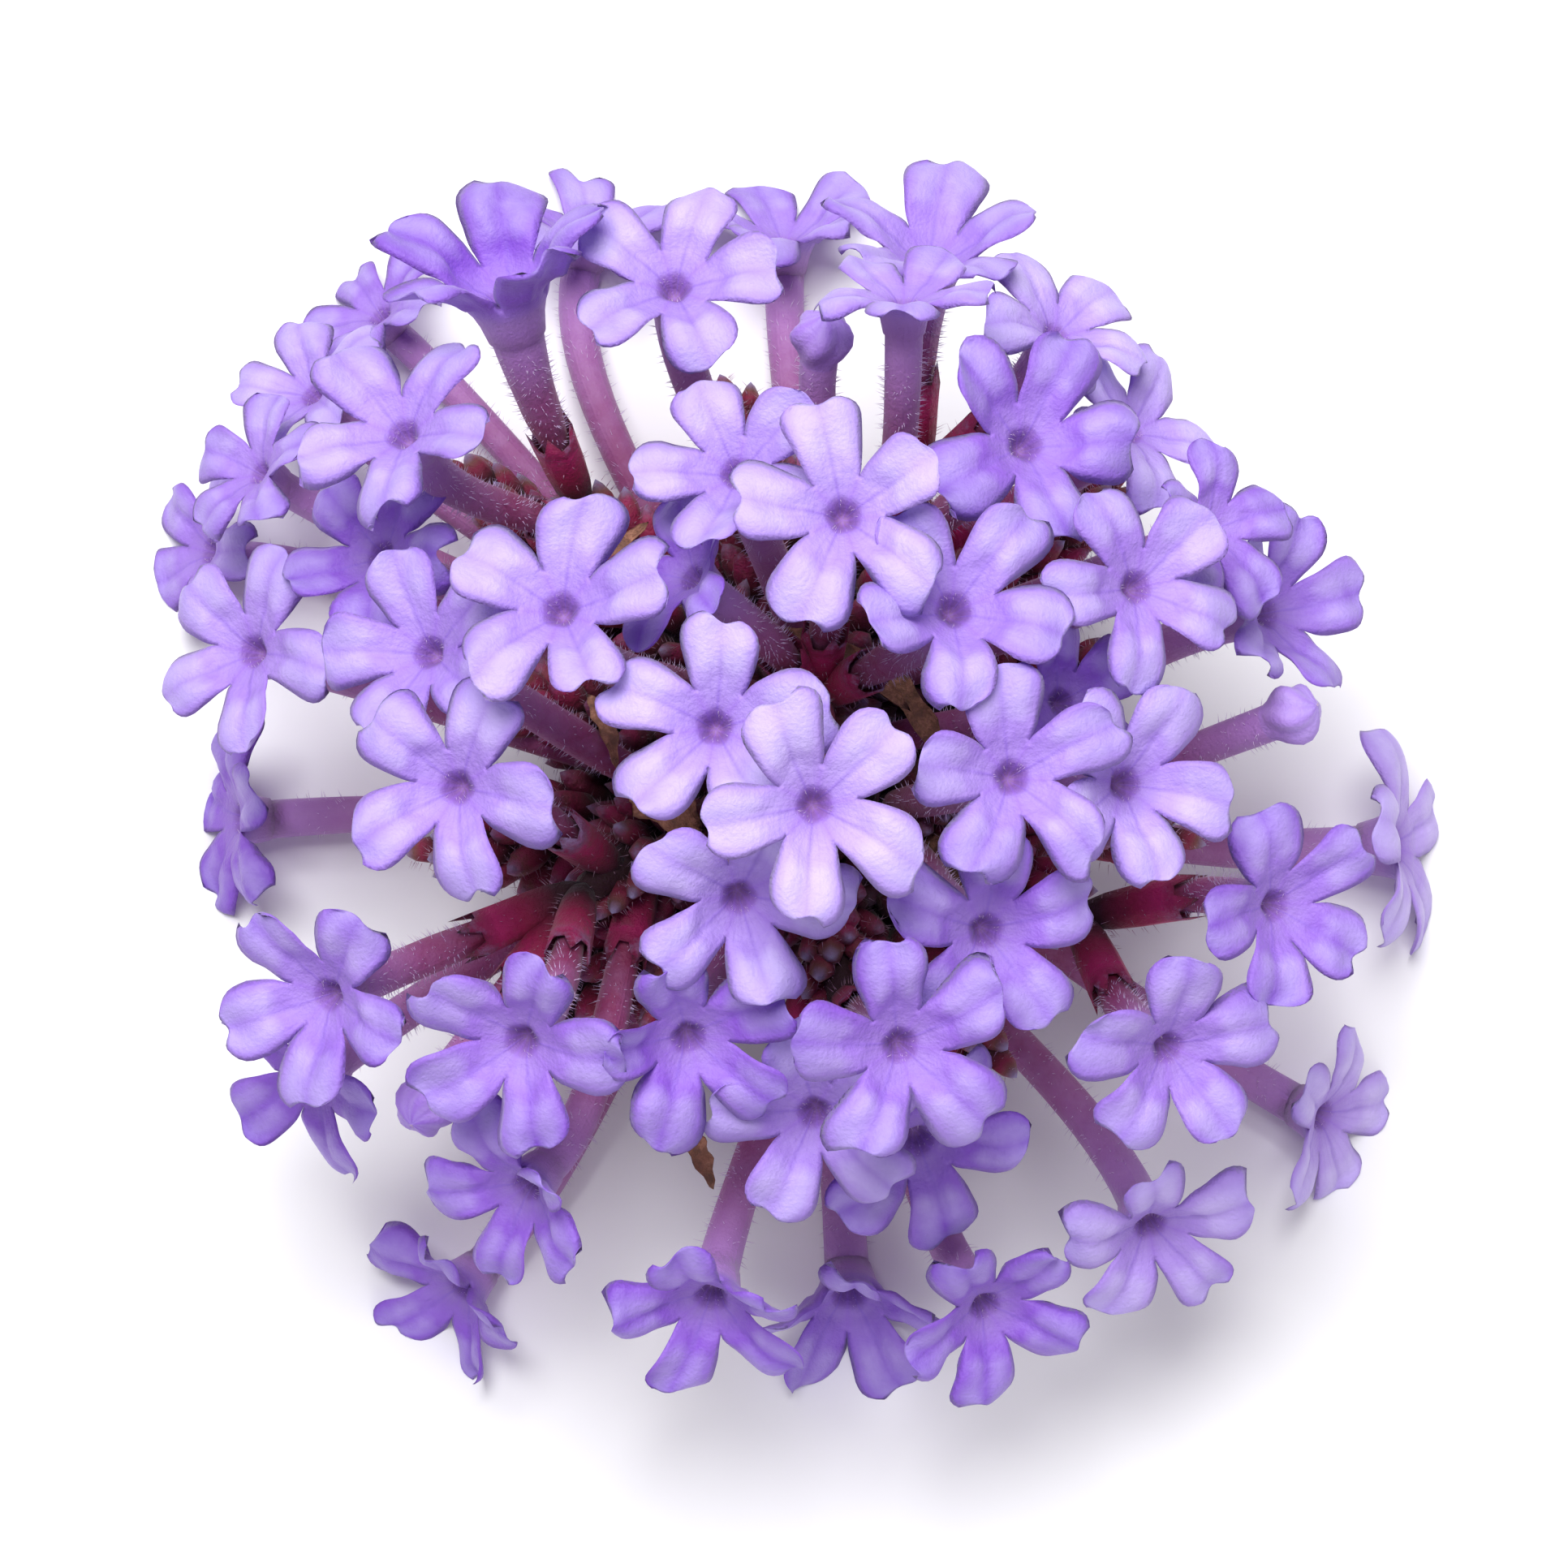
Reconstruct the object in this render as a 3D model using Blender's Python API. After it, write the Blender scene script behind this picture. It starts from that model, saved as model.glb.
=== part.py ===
"""A verbena flower head, picked just below its flowers and resting, dome up, on its lowest petals.

Metres, +Z up. The origin is on the surface that the head rests on, below its middle.
The head is a short forked stem with six spikes of calyces, and a corolla stands in each of the
outer calyces: a slender tube that flares into five notched lobes round a hollow throat.
"""

from math import cos, pi, radians, sin, sqrt

import bmesh
import bpy
import numpy as np

MM = 0.001

# How the head is seen from above: places below are millimetres across and up, on a plane square to
# this line of sight through the point SEEN_HEIGHT above the origin.
SIGHT_ELEVATION = radians(76)
SIGHT_DISTANCE = 130.0
SEEN_HEIGHT = 4.5
RIGHT = np.array([1.0, 0.0, 0.0])
UP = np.array([0.0, sin(SIGHT_ELEVATION), cos(SIGHT_ELEVATION)])
BACK = np.array([0.0, -cos(SIGHT_ELEVATION), sin(SIGHT_ELEVATION)])
SEEN_CENTRE = np.array([0.0, 0.0, SEEN_HEIGHT])
EYE = SEEN_CENTRE + SIGHT_DISTANCE * BACK
UPRIGHT = np.array([0.0, 0.0, 1.0])
# The way that the first corner of a shut corolla and of each calyx faces.
BUD_FACING = UP + 0.3 * RIGHT

# The dome that the throats lie on.
DOME_RADIUS = 16.6
RIM_HEIGHT = 3.4
DOME_RISE = 16.0
DOME_ROUNDS = 12

# One corolla: its throat, the collar under its limb, and its tube, which starts TUBE_ROOT below the
# calyx's mouth, is never led lower than TUBE_LOW, and has these radii at its root and at these
# shares of its way from the mouth to the limb.
LOBES = 5
LOBE_TURN = 2 * pi / LOBES
THROAT_RADIUS = 0.5
THROAT_RISE = 0.1
THROAT_DEPTH = 1.5
BLADE_HALF = 0.3
COLLAR_RADIUS = 0.82
COLLAR_DROP = 0.55
TUBE_SHARES = (0.0, 1 / 3, 2 / 3)
TUBE_RADII = (0.36, 0.42, 0.48, 0.56)
TUBE_SIDES = 5
TUBE_ROOT = 1.1
TUBE_REACH = 0.36
TUBE_LOW = 1.1
# A lobe's outline from its sinus to its notch, as (distance out, distance aside, height), and its
# two midrib points, as (distance out, height).
SINUS = (1.0, 0.02)
LOBE_EDGE = ((1.55, 0.76, 0.15), (2.28, 0.98, 0.10), (2.86, 0.64, -0.12))
NOTCH = (2.76, 0.0, -0.04)
MIDRIB = ((1.35, 0.20), (2.10, 0.20))
LOBE_HINGE = 0.75
LOBE_VARIETY = 0.06
SLOPE_VARIETY = 7
# A shut corolla's knob, as (distance below its tip, radius), and the neck that the tube ends at.
KNOB = ((1.5, 0.6), (0.8, 0.85), (0.15, 0.6))
KNOB_NECK = 1.55
# How far below its throat or tip a corolla's calyx points.
AIM_DROP = 3.0

# The stem, its spikes and their calyces.
FORK = np.array([0.0, 0.6, 3.6])
STEM_FOOT = np.array([0.0, 0.3, 0.7])
STEM_RADIUS = 1.1
STEM_PEG = 0.7
STEM_SIDES = 8
HUB = ((-0.6, 1.6), (1.2, 3.0), (3.2, 2.2))
SPIKE_SHARES = (0.0, 0.6, 1.0)
SPIKE_RADII = (1.15, 0.95, 0.5)
SPIKE_SIDES = 6
# A calyx leaves its spike at this lean, between these shares of the spike's length.
CALYX_LENGTH = 3.0
CALYX_RADII = (0.52, 0.86)
CALYX_SIDES = 5
CALYX_LEAN = radians(42)
CALYX_SPAN = (0.25, 0.96)
SOCKET_ROOM = 0.1
GOLDEN_TURN = radians(137.508)
YOUNG_PER_SPIKE = 7
YOUNG_FROM = 0.42
YOUNG_LENGTHS = (2.9, 1.5)
YOUNG_LEANS = (radians(52), radians(12))
YOUNG_SHARES = (0.0, 0.5, 0.85)
YOUNG_RADII = (0.34, 0.52, 0.30)
YOUNG_SIDES = 4

# The feet are pressed flat by FOOT_PRESS on the surface, and the other florets clear it.
FOOT_PRESS = 0.7
FLOOR_CLEARANCE = 0.2
SETTLING_ROUNDS = 4

# Spike tips, as millimetres across and up, and their height.
SPIKES = {
    "A": (-6.2, 8.2, 9.2),
    "B": (-6.2, -3.0, 9.6),
    "C": (0.6, 2.6, 10.8),
    "D": (8.2, -3.8, 8.8),
    "E": (3.4, 8.6, 9.6),
    "F": (1.4, -6.2, 9.2),
}

# Where each throat is seen (mm across, mm up), which way the floret looks (the sideways and upward
# parts of a unit vector, as seen), where one lobe points (degrees), its size, how steeply its lobes
# rise from the limb's plane (degrees), how far it stands above the dome (mm), and its spike.
FLORETS = {
    "floret_01": (-8.1, 13.8, -0.20, 0.80, 97, 1.22, 36, 2.4, "A"),
    "floret_02": (-5.8, 15.4, 0.15, 0.88, 40, 1.00, 15, -2.0, "A"),
    "floret_03": (-3.4, 14.0, 0.00, 0.45, 75, 1.00, 15, 0.8, "E"),
    "floret_04": (-0.3, 15.3, 0.00, 0.91, 60, 1.02, 20, -1.0, "E"),
    "floret_05": (3.7, 14.8, 0.08, 0.78, 82, 1.12, 30, 0.0, "E"),
    "floret_07": (3.0, 13.6, 0.00, 0.90, 270, 0.85, 10, 1.6, "E"),
    "floret_08": (7.3, 12.7, 0.40, 0.62, 50, 0.88, 15, 0.0, "E"),
    "floret_09": (6.4, 9.6, 0.28, 0.25, 66, 1.03, 22, 0.0, "E"),
    "floret_10": (9.4, 10.0, 0.55, 0.45, 55, 0.86, 10, -1.5, "E"),
    "floret_11": (11.6, 7.2, 0.55, 0.20, 20, 0.82, 15, 0.6, "E"),
    "floret_12": (9.5, 5.6, 0.35, 0.10, 45, 0.95, 18, 0.8, "E"),
    "floret_13": (13.2, 4.9, 0.68, 0.15, 10, 1.00, 26, -1.8, "D"),
    "floret_15": (-1.7, 8.8, -0.15, 0.35, 42, 0.92, 20, 0.0, "E"),
    "floret_16": (1.3, 7.6, 0.05, 0.15, 103, 1.00, 20, 1.2, "C"),
    "floret_17": (4.4, 5.0, 0.20, 0.25, 54, 1.03, 25, 0.2, "C"),
    "floret_18": (-6.6, 5.0, -0.12, 0.32, 80, 1.03, 24, 0.5, "A"),
    "floret_19": (-11.6, 6.5, -0.45, 0.25, 57, 0.88, 22, -1.7, "A"),
    "floret_20": (-10.3, 3.8, -0.40, 0.22, 110, 0.98, 22, -0.4, "B"),
    "floret_21": (-15.2, 3.8, -0.50, 0.12, 60, 0.97, 12, 0.0, "B"),
    "floret_22": (-16.4, 6.6, -0.80, 0.20, 48, 0.88, 12, 0.0, "A"),
    "floret_23": (-15.0, 8.8, -0.65, 0.40, 90, 0.80, 12, 2.9, "A"),
    "floret_24": (-13.5, 11.0, -0.50, 0.50, 110, 0.86, 15, 1.2, "A"),
    "floret_25": (-11.6, 13.2, -0.48, 0.62, 60, 0.82, 15, -2.4, "A"),
    "floret_26": (-11.0, 9.9, -0.30, 0.45, 60, 0.97, 22, 2.1, "A"),
    "floret_28": (-3.0, 5.9, -0.62, 0.45, 110, 0.80, 20, -1.7, "C"),
    "floret_29": (-2.3, 1.7, -0.05, 0.10, 83, 1.00, 18, 0.0, "C"),
    "floret_30": (0.5, -0.5, 0.12, -0.05, 45, 1.00, 18, 1.7, "C"),
    "floret_31": (-1.6, -3.1, 0.10, -0.30, 72, 1.00, 24, -0.9, "F"),
    "floret_32": (-9.5, 0.0, -0.25, -0.05, 63, 0.98, 20, 0.0, "B"),
    "floret_33": (-15.6, -0.9, -0.93, 0.00, 90, 0.95, 5, 0.0, "B"),
    "floret_34": (-13.1, -5.8, -0.45, -0.15, 50, 0.97, 22, 0.8, "B"),
    "floret_35": (-13.5, -8.1, -0.60, -0.45, 58, 0.95, 20, -0.4, "B"),
    "floret_36": (-7.7, -7.1, -0.25, -0.28, 66, 1.00, 22, 0.7, "B"),
    "floret_37": (-7.6, -11.2, -0.50, -0.48, 100, 0.92, 30, 0.0, "B"),
    "floret_38": (-9.4, -14.0, -0.60, -0.55, 60, 0.95, 28, 0.0, "B"),
    "floret_39": (-3.0, -7.0, 0.15, -0.32, 35, 0.98, 24, -1.2, "F"),
    "floret_40": (-2.4, -14.3, -0.15, -0.60, 40, 0.98, 30, 0.0, "F"),
    "floret_41": (0.5, -9.1, -0.05, -0.28, 30, 0.98, 22, -2.1, "F"),
    "floret_42": (2.9, -7.2, 0.18, -0.15, 30, 1.00, 20, 0.8, "F"),
    "floret_43": (3.4, -9.9, 0.15, -0.45, 0, 1.00, 24, -3.9, "F"),
    "floret_44": (1.5, -14.3, 0.05, -0.70, 20, 1.08, 36, 0.0, "F"),
    "floret_45": (5.3, -14.5, 0.35, -0.45, 55, 0.92, 24, 0.0, "F"),
    "floret_46": (6.0, 0.3, 0.15, 0.08, 30, 0.98, 24, 0.0, "D"),
    "floret_47": (9.2, 0.1, 0.40, 0.00, 62, 0.97, 22, -0.3, "D"),
    "floret_48": (5.3, -4.0, 0.25, -0.15, 15, 0.98, 20, -1.0, "D"),
    "floret_49": (10.4, -7.3, 0.35, -0.30, 14, 0.97, 20, 0.0, "D"),
    "floret_50": (9.9, -12.3, 0.25, -0.60, 30, 0.97, 24, 0.0, "F"),
    "floret_51": (13.4, -3.3, 0.48, -0.10, 36, 0.95, 22, 0.0, "D"),
    "floret_52": (16.9, -1.6, 0.93, 0.10, 90, 1.14, 0, 0.0, "D"),
    "floret_53": (14.8, -9.2, 0.75, -0.30, 80, 0.98, 10, 0.0, "D"),
    "floret_55": (7.4, 2.4, 0.30, 0.10, 30, 0.78, 20, -4.0, "C"),
}
FEET = ("floret_02", "floret_04", "floret_22", "floret_33", "floret_38", "floret_44", "floret_52",
        "floret_53")

# Corollas still shut or already closing: where the tip is seen, its gaze, size, lift and spike.
BUDS = {
    "bud_1": (14.5, 2.3, 0.75, 0.30, 1.00, 0.0, "D"),
    "bud_2": (-10.7, -9.4, -0.40, -0.60, 1.00, 0.0, "B"),
    "bud_4": (0.8, 13.2, 0.10, 0.75, 1.00, 0.0, "E"),
}

# Dry brown bracts caught between the spikes: the places that each is seen to run through, as
# millimetres across and up and height.
DRY_BRACTS = {
    "dry_bract_1": ((-0.4, 4.2, 11.3), (1.3, 3.5, 11.6), (3.1, 2.2, 11.1)),
    "dry_bract_2": ((-5.9, 7.0, 11.3), (-5.1, 6.7, 12.0), (-4.2, 7.3, 12.2)),
}
BRACT_RADII = (0.34, 0.55, 0.36)
BRACT_SIDES = 4

# The middle of the head's outline, which the origin lies under.
MIDDLE = np.array([-0.07, 1.16, 0.0])

LILAC = (0.50, 0.36, 0.86, 1.0)
CRIMSON = (0.22, 0.02, 0.07, 1.0)
GREEN = (0.16, 0.18, 0.05, 1.0)
STRAW = (0.30, 0.16, 0.07, 1.0)


def unit(vector):
    return vector / np.linalg.norm(vector)


def seen_at(across, up, height):
    """The point at this height that is seen that far across and up."""
    ray = SEEN_CENTRE + across * RIGHT + up * UP - EYE
    return EYE + ray * (height - EYE[2]) / ray[2]


def on_dome(across, up, lift):
    """The point of the dome that is seen there, raised by lift: each round takes the dome's height
    at the place found in the round before."""
    height = RIM_HEIGHT
    for _ in range(DOME_ROUNDS):
        place = seen_at(across, up, height)
        reach = min(1.0, np.hypot(place[0], place[1]) / DOME_RADIUS)
        height = RIM_HEIGHT + DOME_RISE * sqrt(1 - reach * reach) + lift
    return seen_at(across, up, height)


def gaze_of(sideways, upward):
    """The direction a floret looks in, from the parts of it that are seen."""
    return sideways * RIGHT + upward * UP + sqrt(1 - sideways**2 - upward**2) * BACK


def ring(centre, axis, toward, radius, count):
    """Points round a circle square to axis, the first of them toward that direction."""
    first = unit(toward - (toward @ axis) * axis)
    second = np.cross(axis, first)
    turns = 2 * pi * np.arange(count) / count
    return centre + radius * (np.outer(np.cos(turns), first) + np.outer(np.sin(turns), second))


def bezier(start, start_way, end, end_way, share):
    """A point of the cubic curve that leaves start along start_way and arrives along end_way."""
    reach = TUBE_REACH * np.linalg.norm(end - start)
    a, b, c, d = start, start + reach * start_way, end - reach * end_way, end
    c = np.array([c[0], c[1], max(c[2], TUBE_LOW)])
    s = 1 - share
    point = s**3 * a + 3 * s * s * share * b + 3 * s * share**2 * c + share**3 * d
    way = 3 * s * s * (b - a) + 6 * s * share * (c - b) + 3 * share**2 * (d - c)
    return point, unit(way)


class Shell:
    """Collects the points and triangles of one closed surface."""

    def __init__(self):
        self.points = []
        self.faces = []

    def add(self, points):
        """Keeps the points and returns their numbers."""
        first = len(self.points)
        self.points.extend(np.atleast_2d(points))
        return list(range(first, len(self.points)))

    def bridge(self, low, high):
        """Joins two loops that start side by side and run the same way, whatever their counts."""
        i = j = 0
        while i < len(low) or j < len(high):
            a, b = low[i % len(low)], high[j % len(high)]
            if j >= len(high) or (i < len(low) and (i + 1) * len(high) <= (j + 1) * len(low)):
                self.faces.append((a, low[(i + 1) % len(low)], b))
                i += 1
            else:
                self.faces.append((a, high[(j + 1) % len(high)], b))
                j += 1

    def cap(self, loop):
        """Closes a loop that runs clockwise seen from outside."""
        for k in range(1, len(loop) - 1):
            self.faces.append((loop[0], loop[k + 1], loop[k]))

    def fan(self, loop, tip):
        """Closes a loop with one point."""
        for k, corner in enumerate(loop):
            self.faces.append((corner, loop[(k + 1) % len(loop)], tip))

    def loft(self, rings, toward, sides):
        """A tube through the rings, each a (centre, direction, radius), that is shut at its start.
        Returns the loop that it ends in."""
        lower = None
        for centre, way, radius in rings:
            loop = self.add(ring(centre, way, toward, radius, sides))
            if lower:
                self.bridge(lower, loop)
            else:
                self.cap(loop)
            lower = loop
        return lower

    def make(self, name, colour=None):
        mesh = bpy.data.meshes.new(name)
        mesh.from_pydata([tuple((p - MIDDLE) * MM) for p in self.points], [], self.faces)
        made = bpy.data.objects.new(name, mesh)
        if colour:
            mesh.materials.append(colour)
        bpy.context.scene.collection.objects.link(made)
        return made


def paint(name, rgba, roughness):
    made = bpy.data.materials.new(name)
    made.use_nodes = True
    shader = made.node_tree.nodes["Principled BSDF"]
    shader.inputs["Base Color"].default_value = rgba
    shader.inputs["Roughness"].default_value = roughness
    made.diffuse_color = rgba
    return made


def limb_frame(gaze, spin):
    """The directions along the first lobe and aside from it, in the plane that the limb spreads in."""
    seen = cos(radians(spin)) * RIGHT + sin(radians(spin)) * UP
    along = unit(seen - (seen @ gaze) * gaze)
    return along, np.cross(gaze, along)


def limb_points(name, throat, gaze, spin, size, cup):
    """The limb's points: for each lobe its sinus, its two edges, its notch and its midrib. No two
    lobes are quite alike in length, breadth and slope."""
    draw = np.random.default_rng(int(name[-2:]))
    along, aside = limb_frame(gaze, spin)
    lobes = []
    for k in range(LOBES):
        turn = k * LOBE_TURN
        out = cos(turn) * along + sin(turn) * aside
        side = np.cross(gaze, out)
        longer, wider = 1 + LOBE_VARIETY * draw.uniform(-1, 1, 2)
        slope = radians(cup + SLOPE_VARIETY * draw.uniform(-1, 1))

        def at(distance, offset, height):
            beyond = longer * (distance - LOBE_HINGE)
            distance = LOBE_HINGE + beyond * cos(slope) - height * sin(slope)
            height = height * cos(slope) + beyond * sin(slope)
            return throat + size * (distance * out + wider * offset * side + height * gaze)

        gap = turn + LOBE_TURN / 2
        gap_out = cos(gap) * along + sin(gap) * aside
        rise = (SINUS[0] - LOBE_HINGE) * np.tan(radians(cup)) + SINUS[1]
        lobes.append({
            "sinus": throat + size * (SINUS[0] * gap_out + rise * gaze),
            "left": [at(d, -a, h) for d, a, h in LOBE_EDGE],
            "right": [at(d, a, h) for d, a, h in LOBE_EDGE],
            "notch": at(*NOTCH),
            "above": [at(d, 0, h + BLADE_HALF) for d, h in MIDRIB],
            "below": [at(d, 0, h - BLADE_HALF) for d, h in MIDRIB],
        })
    return lobes


def lowest(lobes):
    """The height of the limb's lowest outline point."""
    points = [p for lobe in lobes for p in [*lobe["left"], *lobe["right"], lobe["notch"]]]
    return min(p[2] for p in points)


def settled(name, throat, gaze, spin, size, cup):
    """The throat's place once the floret is slid along the line of sight until it stands on the
    surface, if it is a foot, or clear of it."""
    for _ in range(SETTLING_ROUNDS):
        lobes = limb_points(name, throat, gaze, spin, size, cup)
        low = lowest(lobes)
        if name in FEET:
            collar = throat[2] - size * (COLLAR_DROP * gaze[2] + COLLAR_RADIUS * sqrt(1 - gaze[2]**2))
            rise = max(-FOOT_PRESS - low, -min(collar, *(lobe["sinus"][2] for lobe in lobes)))
        else:
            rise = max(0.0, FLOOR_CLEARANCE - low)
        throat = throat + (EYE - throat) * rise / (EYE[2] - throat[2])
    return throat


def spike_of(letter):
    """Tip, direction and length of a spike."""
    tip = seen_at(*SPIKES[letter])
    return tip, unit(tip - FORK), np.linalg.norm(tip - FORK)


def calyx_of(letter, target):
    """Root and direction of the calyx on a spike that leans toward target."""
    _, axis, length = spike_of(letter)
    along = (target - FORK) @ axis
    away = np.linalg.norm(target - FORK - along * axis)
    height = along - away / np.tan(CALYX_LEAN)
    height = min(max(height, CALYX_SPAN[0] * length), CALYX_SPAN[1] * length)
    root = FORK + height * axis
    return root, unit(target - root)


def tube_rings(root, lean, end, gaze):
    """Centres, directions and radii up a corolla's tube, from inside the calyx toward its end."""
    mouth = root + CALYX_LENGTH * lean
    rings = [(mouth - TUBE_ROOT * lean, lean, TUBE_RADII[0])]
    for share, radius in zip(TUBE_SHARES, TUBE_RADII[1:]):
        rings.append((*bezier(mouth, lean, end, gaze, share), radius))
    return rings


def open_stance(name):
    """Throat, gaze and tube of an open corolla, its calyx's root and direction, and the direction
    that the tube's first corners face."""
    across, up, sideways, upward, spin, size, cup, lift, letter = FLORETS[name]
    gaze = gaze_of(sideways, upward)
    throat = settled(name, on_dome(across, up, lift), gaze, spin, size, cup)
    root, lean = calyx_of(letter, throat - AIM_DROP * gaze)
    rings = tube_rings(root, lean, throat - COLLAR_DROP * gaze, gaze)
    return throat, gaze, rings, root, lean, limb_frame(gaze, spin)[0]


def shut_stance(name):
    """The same for a shut corolla, with its tip in place of the throat."""
    across, up, sideways, upward, _, lift, letter = BUDS[name]
    gaze = gaze_of(sideways, upward)
    tip = on_dome(across, up, lift)
    root, lean = calyx_of(letter, tip - AIM_DROP * gaze)
    rings = tube_rings(root, lean, tip - KNOB_NECK * gaze, gaze)
    return tip, gaze, rings, root, lean, BUD_FACING


def floret(name, colour):
    """One open corolla: tube, collar, hollow throat and five lobes, each of them a thick blade with
    a midrib on either side."""
    throat, gaze, rings, _, _, along = open_stance(name)
    spin, size, cup = FLORETS[name][4:7]
    shell = Shell()
    collar = shell.add(ring(throat - COLLAR_DROP * gaze * size, gaze, along,
                            COLLAR_RADIUS * size, 2 * LOBES))
    shell.bridge(shell.loft(rings, along, TUBE_SIDES), collar)
    mouth = shell.add(ring(throat + THROAT_RISE * size * gaze, gaze, along,
                           THROAT_RADIUS * size, 2 * LOBES))
    shell.fan(mouth, shell.add(throat - THROAT_DEPTH * size * gaze)[0])
    lobes = limb_points(name, throat, gaze, spin, size, cup)
    if name in FEET:
        for lobe in lobes:
            for part, floor in (("left", 0), ("right", 0), ("below", 0), ("above", 2 * BLADE_HALF)):
                lobe[part] = [np.array([p[0], p[1], max(p[2], floor)]) for p in lobe[part]]
            lobe["notch"][2] = max(lobe["notch"][2], 0)
    sinuses = [shell.add(lobe["sinus"])[0] for lobe in lobes]
    for k, lobe in enumerate(lobes):
        edges = {"right": shell.add(lobe["right"]), "left": shell.add(lobe["left"])}
        notch = shell.add(lobe["notch"])[0]
        for base, ribs, upper in ((mouth, shell.add(lobe["above"]), True),
                                  (collar, shell.add(lobe["below"]), False)):
            for side, corner, sinus in (("right", base[2 * k + 1], sinuses[k]),
                                        ("left", base[2 * k - 1], sinuses[k - 1])):
                near, middle, far = edges[side]
                for a, b, c in ((base[2 * k], corner, sinus), (base[2 * k], sinus, ribs[0]),
                                (ribs[0], sinus, near), (ribs[0], near, ribs[1]),
                                (ribs[1], near, middle), (ribs[1], middle, far),
                                (ribs[1], far, notch)):
                    shell.faces.append((a, b, c) if upper == (side == "left") else (a, c, b))
    return shell.make(name, colour)


def bud(name, colour):
    """A shut corolla: the tube, swollen to a blunt knob at its tip."""
    tip, gaze, rings, _, _, facing = shut_stance(name)
    size = BUDS[name][4]
    knob = [(tip - drop * size * gaze, gaze, radius * size) for drop, radius in KNOB]
    shell = Shell()
    shell.fan(shell.loft(rings + knob, facing, TUBE_SIDES), shell.add(tip)[0])
    return shell.make(name, colour)


def solid(name, rings, sides, toward, tip=None, colour=None):
    """A closed tube through the rings, ending flat or at tip."""
    shell = Shell()
    last = shell.loft(rings, toward, sides)
    if tip is None:
        shell.cap(last[::-1])
    else:
        shell.fan(last, shell.add(tip)[0])
    return shell.make(name, colour)


def gather(name, pieces):
    """Moves the pieces out of the scene into a collection."""
    group = bpy.data.collections.new(name)
    for piece in pieces:
        group.objects.link(piece)
        bpy.context.scene.collection.objects.unlink(piece)
    return group


def combine(body, group, operation):
    """Adds the group's pieces to the body, or cuts them out of it, and removes them."""
    modifier = body.modifiers.new("combine", "BOOLEAN")
    modifier.operation = operation
    modifier.operand_type = "COLLECTION"
    modifier.collection = group
    modifier.use_self = operation == "UNION"
    graph = bpy.context.evaluated_depsgraph_get()
    mesh = bpy.data.meshes.new_from_object(body.evaluated_get(graph))
    body.modifiers.clear()
    body.data = mesh
    for piece in list(group.objects):
        bpy.data.objects.remove(piece)
    bpy.data.collections.remove(group)


def keep_largest(body):
    """Drops the chips that the sockets leave loose."""
    count = len(body.data.vertices)
    owner = np.arange(count)
    edges = np.array([e.vertices[:] for e in body.data.edges])
    for _ in range(count):
        low = np.minimum(owner[edges[:, 0]], owner[edges[:, 1]])
        after = owner.copy()
        np.minimum.at(after, edges[:, 0], low)
        np.minimum.at(after, edges[:, 1], low)
        if (after == owner).all():
            break
        owner = after
    main_body = np.bincount(owner).argmax()
    shape = bmesh.new()
    shape.from_mesh(body.data)
    shape.verts.ensure_lookup_table()
    loose = [shape.verts[i] for i in np.flatnonzero(owner != main_body)]
    bmesh.ops.delete(shape, geom=loose, context="VERTS")
    shape.to_mesh(body.data)
    shape.free()


def young_calyces(letter):
    """The whorls of shut calyces that crowd the upper part of a spike."""
    tip, axis, length = spike_of(letter)
    first = unit(np.cross(axis, RIGHT))
    second = np.cross(axis, first)
    made = []
    for k in range(YOUNG_PER_SPIKE):
        share = k / (YOUNG_PER_SPIKE - 1)
        turn = k * GOLDEN_TURN
        out = cos(turn) * first + sin(turn) * second
        lean = YOUNG_LEANS[0] + share * (YOUNG_LEANS[1] - YOUNG_LEANS[0])
        size = YOUNG_LENGTHS[0] + share * (YOUNG_LENGTHS[1] - YOUNG_LENGTHS[0])
        way = cos(lean) * axis + sin(lean) * out
        root = FORK + (YOUNG_FROM + share * (1 - YOUNG_FROM)) * length * axis
        rings = [(root + step * size * way, way, radius)
                 for step, radius in zip(YOUNG_SHARES, YOUNG_RADII)]
        made.append(solid(f"young_{letter}{k}", rings, YOUNG_SIDES, axis, root + size * way))
    return made


def bract_rings(name, room=0.0):
    """The rings of a dry bract, or of the hollow that leaves it that much room."""
    places = [seen_at(*place) for place in DRY_BRACTS[name]]
    ways = [unit(places[1] - places[0]), unit(places[2] - places[0]), unit(places[2] - places[1])]
    places[0] = places[0] - room * ways[0]
    places[2] = places[2] + room * ways[2]
    return [(place, way, radius + room) for place, way, radius in zip(places, ways, BRACT_RADII)]


def stem_rings(room=0.0):
    """The rings of the cut stem, or of the hollow that leaves it that much room at its top."""
    return [(STEM_FOOT, UPRIGHT, STEM_RADIUS + room),
            (FORK + (STEM_PEG + room) * UPRIGHT, UPRIGHT, STEM_RADIUS + room)]


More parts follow.
